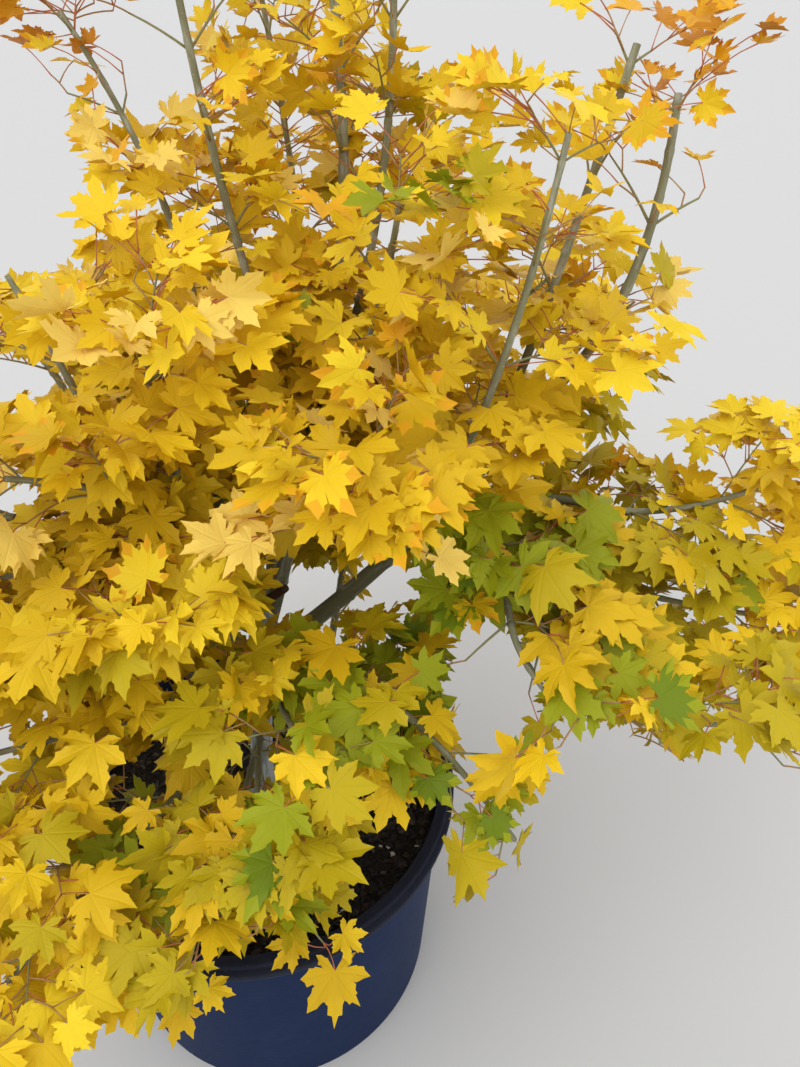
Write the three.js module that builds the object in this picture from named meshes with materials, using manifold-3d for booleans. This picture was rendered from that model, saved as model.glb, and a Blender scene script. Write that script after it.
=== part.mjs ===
// A japanese maple in autumn leaf, growing in a round nursery pot.
// Millimetres, +Z up. The origin is the middle of the pot's flat underside, and the front faces -Y.
// A place is written [right, back, up] from that origin.
import * as THREE from "three";
import { mergeVertices } from "three/addons/utils/BufferGeometryUtils.js";
import Module from "manifold-3d";

const wasm = await Module();
wasm.setup();

// Pot: a 24 inch container with a rolled lip, filled with bark mulch to below the lip
const POT_HEIGHT = 440;
const POT_BASE_RADIUS = 262;
const POT_LIP_RADIUS = 305;
const POT_LIP_WIDTH = 24;
const POT_LIP_DEPTH = 26;
const POT_WALL = 5;
const POT_SIDES = 36;
const POT_RIDGE_UP = 386;
const POT_RIDGE = 4;
const POT_ROUND = 6;
const SOIL_UP = 400;
const SOIL_DROP = 9;
const SOIL_LEVEL_RADIUS = 62;
const SOIL_RIPPLE = 3;
const SOIL_SHRINK = 2.5;
const SOIL_RINGS = [
  [0.72, 0.4],
  [0.45, 0.1],
];

// Touching pieces stay this far apart
const CLEAR = 0.3;
// Corners nearer to each other than this are one
const SAME_POINT = 1e-3;

// Trunk: its axis through its fork to its tip, its radii, and the flare at the soil
const TRUNK_PATH = [
  [0, 0, 385],
  [5, -2, 470],
  [20, -3, 600],
  [40, -3, 765],
  [6, 4, 880],
  [-45, 20, 985],
];
const TRUNK_RADII = [18.5, 7];
const TRUNK_FLARE = 11;
const TRUNK_FLARE_HEIGHT = 22;
const TRUNK_SIDES = 10;
const TRUNK_STEPS = 14;
const TRUNK_EASE = 1.5;
const FLARE_RIDGES = 3;
const FLARE_RIDGE_SHARE = 0.35;
const FLARE_TURN = 0.6;
const STUB_AT = 0.665;
const STUB_TIP = [74, -12, 832];
const STUB_RADII = [7, 5];

// Limbs: sides and steps of each, and of the thin stems in the masses
const LIMB_SIDES = 6;
const LIMB_STEPS = 4;
const STEM_SIDES = 4;
const STEM_STEPS = 3;
const STEM_TIP_RADIUS = 3.2;
const STEM_FOLLOW = 0.42;
const STEM_RISE = 0.1;
const STEM_PROBES = 12;
const TWIG_SIDES = 3;
const TWIG_SHARE = 0.66;
const TWIG_LEAF_AT = 0.86;

// The branching rule: pairs of twigs at even nodes, each pair turned a quarter round from the last
const NODE_SPACING = 110;
const FIRST_NODE = 0.16;
const LAST_NODE = 0.93;
const LEAST_NODES = 3;
const TURN_PLAY = 0.4;
const TWIG_LEAN = [0.65, 1.1];
const TWIG_PLAY = [0.75, 1.05];
const TWIG_LIFT = 0.16;
const TWIG_LEAST = 0.5;
const LEAF_PAIR_AT = 0.45;
const LEAF_PAIR_TWIG = 95;
const LEAF_FOLLOW = 0.3;
const LEAF_DROOP = 0.32;
const LEAF_SPLAY = 1.3;
const LEAF_PLAY = [0.85, 1.1];
const ROLL_PLAY = 0.5;
const LEAF_TRIES = [1, 0.8, 0.64];
const SPACE_SHARE = 18;
const POT_ROOM = 12;

// A leaf with its stalk, drawn larger than life: its outline as shares of its length, along and across
const LEAF_LENGTH = 140;
const LEAF_THICK = 3;
const LEAF_CUP = 7;
const LEAF_HEART = 0.36;
const LEAF_OUTLINE = [
  [1, 0],
  [0.68, 0.17],
  [0.52, 0.5],
  [0.24, 0.035],
  [0, 0],
  [0.24, -0.035],
  [0.52, -0.5],
  [0.68, -0.17],
];

// Boughs: the limb each leaves and how far along it, the tip, the radii, and how far the middle is bowed up
const BOUGHS = {
  right_bough: { from: "trunk", at: 0.52, tip: [450, 165, 1060], radii: [13, 6.5], bow: -0.05 },
  centre_bough: { from: "trunk", at: 0.59, tip: [125, 225, 1060], radii: [11, 7.5], bow: -0.05 },
  left_bough: { from: "trunk", at: 0.7, tip: [-250, 0, 930], radii: [8.5, 6], bow: -0.02 },
  back_bough: { from: "trunk", at: 0.49, tip: [20, 360, 830], radii: [9, 6.5], bow: 0.03 },
  second_stem: { foot: [37, 14, 385], tip: [130, 250, 690], radii: [8, 5.5], bow: -0.16 },
  right_inner_bough: { from: "right_bough", at: 0.62, tip: [400, 215, 1080], radii: [7, 5.8], bow: -0.08 },
  right_lateral_bough: { from: "right_bough", at: 0.55, tip: [480, 105, 880], radii: [7, 5], bow: 0.08 },
  right_middle_bough: { from: "right_bough", at: 0.35, tip: [270, 15, 960], radii: [6.5, 5], bow: -0.05 },
  right_low_bough: { from: "right_bough", at: 0.6, tip: [395, -95, 830], radii: [6.8, 5], bow: 0.06 },
  right_hanging_bough: { from: "right_low_bough", at: 0.4, tip: [348, -112, 862], radii: [5, 4.2], bow: 0.04 },
  right_under_bough: { from: "right_bough", at: 0.44, tip: [430, 70, 805], radii: [6.5, 5], bow: 0.08 },
  front_right_bough: { from: "trunk", at: 0.45, tip: [150, -110, 775], radii: [6, 4.5], bow: 0.06 },
  top_left_bough: { from: "centre_bough", at: 0.66, tip: [40, 215, 1090], radii: [6.5, 5.6], bow: -0.08 },
  top_right_bough: { from: "centre_bough", at: 0.72, tip: [165, 250, 1110], radii: [6.5, 5.6], bow: -0.08 },
  top_rear_bough: { from: "centre_bough", at: 0.6, tip: [75, 390, 1060], radii: [6.5, 5.4], bow: -0.06 },
  centre_front_bough: { from: "centre_bough", at: 0.42, tip: [150, 20, 960], radii: [6, 5], bow: -0.03 },
  centre_top_bough: { from: "centre_bough", at: 0.55, tip: [165, 125, 1060], radii: [6, 5], bow: -0.06 },
  back_right_bough: { from: "centre_bough", at: 0.34, tip: [270, 400, 930], radii: [7.5, 5.5], bow: 0.03 },
  left_middle_bough: { from: "left_bough", at: 0.4, tip: [-125, 25, 990], radii: [6, 5], bow: -0.05 },
  left_rear_bough: { from: "left_bough", at: 0.5, tip: [-230, 190, 990], radii: [6, 5], bow: -0.03 },
  back_left_bough: { from: "trunk", at: 0.64, tip: [-160, 330, 880], radii: [7.5, 5.5], bow: 0.02 },
  upper_left_bough: { from: "trunk", at: 0.84, tip: [-40, 190, 1090], radii: [6.5, 5.2], bow: -0.08 },
  left_low_bough: { from: "trunk", at: 0.38, tip: [-170, -60, 770], radii: [7.5, 5], bow: 0.03 },
  left_inner_bough: { from: "trunk", at: 0.57, tip: [-100, -45, 860], radii: [6, 4.6], bow: 0.03 },
};

// Masses of leaves: the limb whose tip each grows on, its own furthest tip, the reach of its twigs, its seed,
// and the radius of its cut end where it is pruned
const MASSES = {
  right_outer_top: { on: "right_bough", tip: [558, 300, 1350], spread: 120, seed: 101, cut: 5 },
  right_inner_top: { on: "right_inner_bough", tip: [505, 325, 1400], spread: 115, seed: 102, cut: 5 },
  right_lateral: { on: "right_lateral_bough", tip: [800, 135, 935], spread: 140, seed: 103 },
  right_middle: { on: "right_middle_bough", tip: [392, 100, 1340], spread: 140, seed: 104, cut: 3.6 },
  lower_right: { on: "right_low_bough", tip: [645, -175, 755], spread: 140, seed: 105 },
  right_hanging: { on: "right_hanging_bough", tip: [425, -200, 780], spread: 125, seed: 106 },
  right_under: { on: "right_under_bough", tip: [690, 20, 760], spread: 120, seed: 107 },
  front_right: { on: "front_right_bough", tip: [355, -250, 645], spread: 120, seed: 108 },
  top_back: { on: "centre_bough", tip: [60, 400, 1900], spread: 120, seed: 109 },
  top_left: { on: "top_left_bough", tip: [-60, 360, 1840], spread: 120, seed: 110 },
  top_right: { on: "top_right_bough", tip: [190, 425, 1790], spread: 120, seed: 111 },
  top_rear: { on: "top_rear_bough", tip: [-10, 600, 1620], spread: 150, seed: 112 },
  centre_front: { on: "centre_front_bough", tip: [175, -145, 1085], spread: 140, seed: 113 },
  centre_top: { on: "centre_top_bough", tip: [220, 75, 1280], spread: 130, seed: 130 },
  back_right: { on: "back_right_bough", tip: [490, 650, 1010], spread: 170, seed: 114 },
  left_outer: { on: "left_bough", tip: [-650, -20, 1000], spread: 160, seed: 115 },
  left_middle: { on: "left_middle_bough", tip: [-215, 85, 1200], spread: 140, seed: 116 },
  left_rear: { on: "left_rear_bough", tip: [-530, 360, 1090], spread: 160, seed: 117 },
  back_left: { on: "back_left_bough", tip: [-330, 640, 960], spread: 165, seed: 118 },
  upper_left: { on: "upper_left_bough", tip: [-200, 380, 1430], spread: 130, seed: 119 },
  centre_left: { on: "trunk", tip: [-25, -35, 1200], spread: 140, seed: 120 },
  back: { on: "back_bough", tip: [-20, 780, 930], spread: 165, seed: 121 },
  back_low: { on: "second_stem", tip: [230, 540, 690], spread: 140, seed: 122 },
  left_low: { on: "left_low_bough", tip: [-490, -130, 780], spread: 150, seed: 123 },
  left_front: { from: "trunk", at: 0.34, tip: [-330, -230, 735], spread: 130, seed: 124, radius: 6 },
  front_low: { from: "trunk", at: 0.25, tip: [25, -365, 640], spread: 130, seed: 125, radius: 6 },
  front_left: { from: "trunk", at: 0.29, tip: [-190, -400, 620], spread: 140, seed: 126, radius: 6 },
  left_inner: { on: "left_inner_bough", tip: [-330, -110, 910], spread: 130, seed: 127 },
  centre_low: { from: "trunk", at: 0.43, tip: [110, -240, 815], spread: 120, seed: 128, radius: 5 },
  front_middle: { from: "trunk", at: 0.32, tip: [60, -270, 700], spread: 120, seed: 131, radius: 5 },
  centre_inner: { from: "trunk", at: 0.5, tip: [-30, -175, 930], spread: 130, seed: 129, radius: 5 },
  left_face: { from: "trunk", at: 0.88, tip: [-170, -130, 1070], spread: 130, seed: 132, radius: 5 },
};

const FINISH = {
  pot: { color: 0x1b2338, roughness: 0.42 },
  mulch: { color: 0x221a14, roughness: 0.95 },
  bark: { color: 0x7d8174, roughness: 0.7 },
  bough: { color: 0x5d6142, roughness: 0.65 },
  stub: { color: 0x4a2f1c, roughness: 0.85 },
  leaf: { color: 0xe9ac14, roughness: 0.6 },
};

const UP = new THREE.Vector3(0, 0, 1);
const place = (p) => new THREE.Vector3(...p);

// A repeatable draw between low and high from a seed: a linear congruence modulo 2 to the 32
const SEED_FACTOR = 2654435761;
const DRAW_FACTOR = 1664525;
const DRAW_STEP = 1013904223;
function drawsFrom(seed) {
  let state = Math.imul(seed, SEED_FACTOR) >>> 0;
  return (low, high) => {
    state = (Math.imul(state, DRAW_FACTOR) + DRAW_STEP) >>> 0;
    return low + ((high - low) * state) / 2 ** 32;
  };
}

// A closed geometry as a solid that can be joined and cut
function solidFrom(geometry) {
  const bare = geometry.clone();
  bare.deleteAttribute("normal");
  bare.deleteAttribute("uv");
  const merged = mergeVertices(bare, SAME_POINT);
  return new wasm.Manifold(
    new wasm.Mesh({
      numProp: 3,
      vertProperties: merged.attributes.position.array,
      triVerts: new Uint32Array(merged.index.array),
    }),
  );
}

// The largest closed body of a solid: loose scraps and sealed hollows are left out
function largestBody(solid) {
  return solid.decompose().reduce((best, b) => (b.volume() > best.volume() ? b : best));
}

// The same once corners that all but touch are merged, which can part a body at a thin neck
function soundBody(solid) {
  return largestBody(solidFrom(geometryFrom(largestBody(solid))));
}

function geometryFrom(solid) {
  const mesh = solid.getMesh();
  const geometry = new THREE.BufferGeometry();
  const corners = new Float32Array(mesh.vertProperties);
  geometry.setAttribute("position", new THREE.BufferAttribute(corners, 3));
  geometry.setIndex(new THREE.BufferAttribute(new Uint32Array(mesh.triVerts), 1));
  return geometry;
}

// A round bar carried along a curve: a unit cylinder whose rings are set across the curve
function bar(curve, radiusAt, sides, steps, ease = 1, pointed = false) {
  const geometry = new THREE.CylinderGeometry(pointed ? 0 : 1, 1, 1, sides, steps);
  const frames = curve.computeFrenetFrames(steps, false);
  const spot = geometry.attributes.position;
  const v = new THREE.Vector3();
  for (let i = 0; i < spot.count; i += 1) {
    v.fromBufferAttribute(spot, i);
    const ring = Math.round((v.y + 0.5) * steps);
    const t = (ring / steps) ** ease;
    const tangent = curve.getTangentAt(t);
    const normal = frames.normals[ring];
    const across = normal.clone().addScaledVector(tangent, -normal.dot(tangent)).normalize();
    const side = across.clone().cross(tangent);
    const angle = Math.atan2(v.z, v.x);
    const radius = Math.hypot(v.x, v.z) * radiusAt(t, angle);
    const out = curve.getPointAt(t);
    out.addScaledVector(across, radius * Math.cos(angle));
    out.addScaledVector(side, radius * Math.sin(angle));
    spot.setXYZ(i, out.x, out.y, out.z);
  }
  return geometry;
}

const taper = (radii, extra = 0) => (t) => radii[0] + (radii[1] - radii[0]) * t + extra;

// The arc from a start to a tip, its middle bowed up by a share of its span
function bowed(start, tip, bow) {
  const middle = start.clone().lerp(tip, 0.5);
  middle.z += 2 * bow * start.distanceTo(tip);
  return new THREE.QuadraticBezierCurve3(start, middle, tip);
}

function trunkRadius(extra = 0) {
  const even = taper(TRUNK_RADII, extra);
  return (t, angle) => {
    const flare = TRUNK_FLARE * Math.exp((-t * TRUNK_LENGTH) / TRUNK_FLARE_HEIGHT);
    return even(t) + flare * (1 + FLARE_RIDGE_SHARE * Math.cos(FLARE_RIDGES * angle + FLARE_TURN));
  };
}

const trunkCurve = new THREE.CatmullRomCurve3(TRUNK_PATH.map(place));
const TRUNK_LENGTH = trunkCurve.getLength();

// Everything under the soil's level, which is cut off a limb that stands in it
const GROUND_SIDE = 200;
const groundBlock = new THREE.BoxGeometry(GROUND_SIDE, GROUND_SIDE, GROUND_SIDE);
const ground = solidFrom(groundBlock.translate(0, 0, SOIL_UP + CLEAR - GROUND_SIDE / 2));

// Limbs keep their curve, their solid and a grown copy that others are cut clear of
const limbs = new Map();

function addLimb(name, curve, solid, grown, radii) {
  let cut = solid;
  for (const other of limbs.values()) cut = cut.subtract(other.grown);
  limbs.set(name, { curve, grown, radii, solid: soundBody(cut) });
}

function makeTrunk() {
  const shape = (extra) =>
    solidFrom(bar(trunkCurve, trunkRadius(extra), TRUNK_SIDES, TRUNK_STEPS, TRUNK_EASE));
  addLimb("trunk", trunkCurve, shape(0).subtract(ground), shape(CLEAR), TRUNK_RADII);
  const stubCurve = bowed(trunkCurve.getPointAt(STUB_AT), place(STUB_TIP), 0);
  const stub = (extra) => solidFrom(bar(stubCurve, taper(STUB_RADII, extra), LIMB_SIDES, 1));
  addLimb("dead_stub", stubCurve, stub(0), stub(CLEAR), STUB_RADII);
}

function makeBoughs() {
  for (const [name, bough] of Object.entries(BOUGHS)) {
    const start = bough.foot ? place(bough.foot) : limbs.get(bough.from).curve.getPointAt(bough.at);
    const curve = bowed(start, place(bough.tip), bough.bow);
    const shape = (extra) =>
      solidFrom(bar(curve, taper(bough.radii, extra), LIMB_SIDES, LIMB_STEPS));
    const solid = bough.foot ? shape(0).subtract(ground) : shape(0);
    addLimb(name, curve, solid, shape(CLEAR), bough.radii);
  }
}

// The stem of a mass: on from the tip of its limb, or out of the limb's side, to the mass's furthest tip
function stemOf(mass) {
  const limb = limbs.get(mass.on ?? mass.from);
  const tip = place(mass.tip);
  const along = mass.on ? limb.curve.getTangentAt(1) : tip.clone().sub(limb.curve.getPointAt(mass.at));
  along.normalize();
  const start = limb.curve.getPointAt(mass.on ? 1 : mass.at);
  if (mass.on) start.addScaledVector(along, CLEAR);
  const middle = start.clone().addScaledVector(along, STEM_FOLLOW * start.distanceTo(tip));
  if (mass.from) middle.z += STEM_RISE * start.distanceTo(tip);
  const rootRadius = mass.on ? limb.radii[1] : mass.radius;
  const radii = [rootRadius, mass.cut ?? STEM_TIP_RADIUS];
  return { curve: new THREE.QuadraticBezierCurve3(start, middle, tip), radii };
}

// Distance from a point to a stem, taken on a row of straight lengths along it
function distanceToStem(point, probes) {
  let least = Infinity;
  const nearest = new THREE.Vector3();
  for (let i = 0; i < probes.length - 1; i += 1) {
    new THREE.Line3(probes[i], probes[i + 1]).closestPointToPoint(point, true, nearest);
    least = Math.min(least, nearest.distanceTo(point));
  }
  return least;
}

// A leaf: a sphere of two rings, pulled out to the stalk, lobes and notches, root at the origin, along +X
function leafGeometry(scale) {
  const corners = LEAF_OUTLINE.length;
  const geometry = new THREE.SphereGeometry(1, corners, 2);
  const spot = geometry.attributes.position;
  for (let i = 0; i < spot.count; i += 1) {
    const y = spot.getY(i);
    if (Math.abs(y) > 0.5) {
      const thick = y > 0 ? LEAF_THICK / 2 : -LEAF_THICK / 2;
      spot.setXYZ(i, LEAF_HEART * LEAF_LENGTH * scale, 0, LEAF_CUP + thick);
    } else {
      const turn = Math.atan2(-spot.getZ(i), spot.getX(i)) / (2 * Math.PI);
      const lobe = Math.round((turn + 1) * corners) % corners;
      const [along, across] = LEAF_OUTLINE[lobe];
      spot.setXYZ(i, along * LEAF_LENGTH * scale, across * LEAF_LENGTH * scale, 0);
    }
  }
  return geometry;
}

// A leaf set at a point: its length along out, its face turned up and rolled a little about its length
function setLeaf(root, out, roll, scale) {
  const along = out.clone().normalize();
  const across = UP.clone().cross(along).normalize();
  const face = along.clone().cross(across);
  across.applyAxisAngle(along, roll);
  face.applyAxisAngle(along, roll);
  const frame = new THREE.Matrix4().makeBasis(along, across, face).setPosition(root);
  return leafGeometry(scale).applyMatrix4(frame);
}

// Is the whole geometry in the mass's own space, clear of the limbs, the pot and the masses made before
function fits(geometry, mass, neighbours, made) {
  const spot = geometry.attributes.position;
  const point = new THREE.Vector3();
  for (let i = 0; i < spot.count; i += 1) {
    point.fromBufferAttribute(spot, i);
    const own = distanceToStem(point, mass.probes);
    if (own > mass.spread + LEAF_LENGTH) return false;
    if (neighbours.some((n) => distanceToStem(point, n.probes) < own - SPACE_SHARE)) return false;
    const overPot = Math.hypot(point.x, point.y) < POT_LIP_RADIUS + POT_ROOM;
    if (overPot && point.z < POT_HEIGHT + POT_ROOM) return false;
  }
  const solid = solidFrom(geometry);
  for (const limb of limbs.values()) if (!solid.intersect(limb.grown).isEmpty()) return false;
  return !made.some((m) => !solid.intersect(m).isEmpty());
}

// The twigs and leaves of one mass, by the branching rule, fused on its stem
function growMass(mass, neighbours, made) {
  const draw = drawsFrom(mass.seed);
  const { curve, radii } = mass.stem;
  const stemRadius = taper(radii);
  let solid = solidFrom(bar(curve, stemRadius, STEM_SIDES, STEM_STEPS));
  for (const limb of limbs.values()) solid = solid.subtract(limb.grown);
  const nodes = Math.max(LEAST_NODES, Math.round(curve.getLength() / NODE_SPACING));
  const frames = curve.computeFrenetFrames(nodes, false);
  const fuse = (geometry) => {
    solid = solid.add(solidFrom(geometry));
  };
  const fittingLeaf = (root, out, roll, scale) =>
    LEAF_TRIES.map((share) => setLeaf(root, out, roll, scale * share)).find((one) =>
      fits(one, mass, neighbours, made),
    );
  for (let k = 0; k < nodes; k += 1) {
    const t = FIRST_NODE + ((LAST_NODE - FIRST_NODE) * k) / (nodes - 1);
    const root = curve.getPointAt(t);
    const along = curve.getTangentAt(t);
    const turn = (k * Math.PI) / 2 + draw(-TURN_PLAY, TURN_PLAY);
    for (const facing of [0, Math.PI]) {
      const out = frames.normals[k].clone().applyAxisAngle(along, turn + facing);
      out.addScaledVector(along, draw(...TWIG_LEAN)).normalize();
      out.z += TWIG_LIFT;
      out.normalize();
      const fullness = TWIG_LEAST + (1 - TWIG_LEAST) * Math.sin(Math.PI * t);
      const reach = mass.spread * fullness * draw(...TWIG_PLAY);
      const rolls = [0, 1, 2].map(() => draw(-ROLL_PLAY, ROLL_PLAY));
      const scale = draw(...LEAF_PLAY);
      const end = root.clone().addScaledVector(out, reach);
      const rootRadius = TWIG_SHARE * stemRadius(t);
      const twig = bar(new THREE.LineCurve3(root, end), () => rootRadius, TWIG_SIDES, 1, 1, true);
      const flat = out.clone().setZ(out.z * LEAF_FOLLOW - LEAF_DROOP);
      const endLeaf = fittingLeaf(root.clone().lerp(end, TWIG_LEAF_AT), flat, rolls[0], scale);
      if (!endLeaf || !fits(twig, mass, neighbours, made)) continue;
      fuse(twig);
      fuse(endLeaf);
      if (reach < LEAF_PAIR_TWIG) continue;
      const wing = UP.clone().cross(out).normalize();
      for (const [splay, roll] of [[LEAF_SPLAY, rolls[1]], [-LEAF_SPLAY, rolls[2]]]) {
        const aside = flat.clone().addScaledVector(wing, splay);
        const sideLeaf = fittingLeaf(root.clone().lerp(end, LEAF_PAIR_AT), aside, roll, scale);
        if (sideLeaf) fuse(sideLeaf);
      }
    }
  }
  const tipLeavesAt = mass.cut ? LAST_NODE : 1;
  const crown = curve.getTangentAt(tipLeavesAt);
  const wing = UP.clone().cross(crown).normalize();
  for (const side of [-1, 1]) {
    const out = crown.clone().setZ(crown.z * LEAF_FOLLOW - LEAF_DROOP).addScaledVector(wing, side);
    const [roll, scale] = [draw(-ROLL_PLAY, ROLL_PLAY), draw(...LEAF_PLAY)];
    const leaf = fittingLeaf(curve.getPointAt(tipLeavesAt), out, roll, scale);
    if (leaf) fuse(leaf);
  }
  return soundBody(solid);
}

// The pot: a wall with a slight ridge under a rolled lip, and a flat closed floor
function potGeometry() {
  const wallTop = POT_LIP_RADIUS - POT_LIP_WIDTH + POT_WALL;
  const lipFoot = POT_HEIGHT - POT_LIP_DEPTH;
  const wallAt = (up) => POT_BASE_RADIUS + ((wallTop - POT_BASE_RADIUS) * up) / lipFoot;
  const profile = [
    [0, 0],
    [POT_BASE_RADIUS - POT_ROUND, 0],
    [POT_BASE_RADIUS, POT_ROUND],
    [wallAt(POT_RIDGE_UP - POT_RIDGE), POT_RIDGE_UP - POT_RIDGE],
    [wallAt(POT_RIDGE_UP) + POT_RIDGE, POT_RIDGE_UP],
    [wallAt(lipFoot) + POT_RIDGE, lipFoot],
    [POT_LIP_RADIUS - POT_RIDGE / 2, lipFoot],
    [POT_LIP_RADIUS, lipFoot + POT_RIDGE],
    [POT_LIP_RADIUS, POT_HEIGHT - POT_ROUND],
    [POT_LIP_RADIUS - POT_ROUND, POT_HEIGHT],
    [POT_LIP_RADIUS - POT_LIP_WIDTH + POT_RIDGE, POT_HEIGHT],
    [POT_LIP_RADIUS - POT_LIP_WIDTH, POT_HEIGHT - POT_ROUND],
    [wallAt(SOIL_UP) - POT_WALL, SOIL_UP],
    [POT_BASE_RADIUS - POT_WALL, POT_WALL],
    [0, POT_WALL],
  ];
  const points = profile.map(([r, up]) => new THREE.Vector2(r, up));
  return new THREE.LatheGeometry(points, POT_SIDES).rotateX(Math.PI / 2);
}

// The mulch: a plug that fills the pot, level round the trunk and rippled out to the wall
function soilGeometry() {
  const top = POT_LIP_RADIUS - POT_LIP_WIDTH - POT_WALL - SOIL_SHRINK;
  const profile = [
    [0, POT_WALL + CLEAR],
    [POT_BASE_RADIUS - POT_WALL - SOIL_SHRINK, POT_WALL + CLEAR],
    [top, SOIL_UP - SOIL_DROP],
    ...SOIL_RINGS.map(([out, drop]) => [top * out, SOIL_UP - SOIL_DROP * drop]),
    [SOIL_LEVEL_RADIUS, SOIL_UP],
    [0, SOIL_UP],
  ];
  const points = profile.map(([r, up]) => new THREE.Vector2(r, up));
  const geometry = new THREE.LatheGeometry(points, POT_SIDES).rotateX(Math.PI / 2);
  const spot = geometry.attributes.position;
  for (let i = 0; i < spot.count; i += 1) {
    const out = Math.hypot(spot.getX(i), spot.getY(i));
    if (spot.getZ(i) < SOIL_UP / 2 || out < SOIL_LEVEL_RADIUS + 1 || out > top - 1) continue;
    const angle = Math.atan2(spot.getY(i), spot.getX(i));
    const ripple = Math.sin(5 * angle + out) + Math.sin(3 * angle - out);
    spot.setZ(i, spot.getZ(i) + (SOIL_RIPPLE * ripple) / 2);
  }
  return geometry;
}

makeTrunk();
makeBoughs();

const masses = Object.entries(MASSES).map(([name, row]) => {
  const stem = stemOf(row);
  return { ...row, name, stem, probes: stem.curve.getSpacedPoints(STEM_PROBES) };
});

const plant = new THREE.Group();
plant.name = "japanese_maple";

function show(name, geometry, finish) {
  const material = new THREE.MeshStandardMaterial({ metalness: 0, ...FINISH[finish] });
  const mesh = new THREE.Mesh(geometry, material);
  mesh.name = name;
  plant.add(mesh);
}

show("pot", potGeometry(), "pot");
show("soil", soilGeometry(), "mulch");
const barkOf = { trunk: "bark", second_stem: "bark", dead_stub: "stub" };
for (const [name, limb] of limbs) show(name, geometryFrom(limb.solid), barkOf[name] ?? "bough");

const made = [];
for (const mass of masses) {
  const solid = growMass(mass, masses.filter((m) => m !== mass), made);
  made.push(solid);
  show("leaves_" + mass.name, geometryFrom(solid), "leaf");
}

export default plant;
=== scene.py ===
"""A japanese maple in golden autumn leaf, growing in a round nursery pot.

Each shape is a surface over two parameters, worked out with numpy as whole arrays, in metres.
The limbs keep to the arcs of their solids. The twigs follow the same branching rule and are carried finer.
"""

import bpy
import numpy as np
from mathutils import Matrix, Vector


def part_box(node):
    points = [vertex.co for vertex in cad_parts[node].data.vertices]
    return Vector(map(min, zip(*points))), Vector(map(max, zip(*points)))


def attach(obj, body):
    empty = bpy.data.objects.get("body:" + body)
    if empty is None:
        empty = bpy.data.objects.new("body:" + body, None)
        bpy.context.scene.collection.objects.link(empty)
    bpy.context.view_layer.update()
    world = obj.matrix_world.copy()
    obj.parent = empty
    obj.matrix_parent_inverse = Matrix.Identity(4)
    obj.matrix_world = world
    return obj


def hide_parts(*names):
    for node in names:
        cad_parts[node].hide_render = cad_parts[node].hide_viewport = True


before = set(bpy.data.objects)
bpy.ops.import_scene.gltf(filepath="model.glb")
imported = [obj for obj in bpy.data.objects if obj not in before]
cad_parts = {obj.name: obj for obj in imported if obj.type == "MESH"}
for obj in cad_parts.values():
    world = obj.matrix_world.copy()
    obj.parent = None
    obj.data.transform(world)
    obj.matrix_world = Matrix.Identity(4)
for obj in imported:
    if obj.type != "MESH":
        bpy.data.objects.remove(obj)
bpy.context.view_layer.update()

UP = np.array([0.0, 0.0, 1.0])

# The photograph: its size in pixels, the camera's focal length in pixels, its place and how far it looks down
PHOTO = (800, 1067)
FOCAL = 801
CAMERA_AT = (0.22, -0.80, 1.49)
CAMERA_DOWN = np.radians(36)
SENSOR = 36
NEAREST = 0.05

# The stage: a wide floor, a pale sky and one broad light from high at the front
FLOOR_HALF = 60
FLOOR_TINT = (0.58, 0.58, 0.57)
SKY_TINT = (0.98, 0.98, 1.0)
SKY_STRENGTH = 1.13
LIGHT_ENERGY = 0.60
LIGHT_ANGLE = np.radians(35)
LIGHT_TURN = (np.radians(24), np.radians(-26), 0)

# Trunk: the points its axis goes through, its radii, its flare at the mulch and the dead stub on it
TRUNK_PATH = np.array(
    [
        [0, 0, 0.385],
        [0.005, -0.002, 0.470],
        [0.020, -0.003, 0.600],
        [0.040, -0.003, 0.765],
        [0.006, 0.004, 0.880],
        [-0.045, 0.020, 0.985],
    ]
)
TRUNK_RADII = (0.0185, 0.007)
FLARE = 0.011
FLARE_HEIGHT = 0.022
FLARE_RIDGES = 3
FLARE_RIDGE_SHARE = 0.35
FLARE_TURN = 0.6
STUB_AT = 0.665
STUB_TIP = (0.074, -0.012, 0.832)
STUB_RADII = (0.007, 0.005)
STEM_GAP = 0.0003

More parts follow.
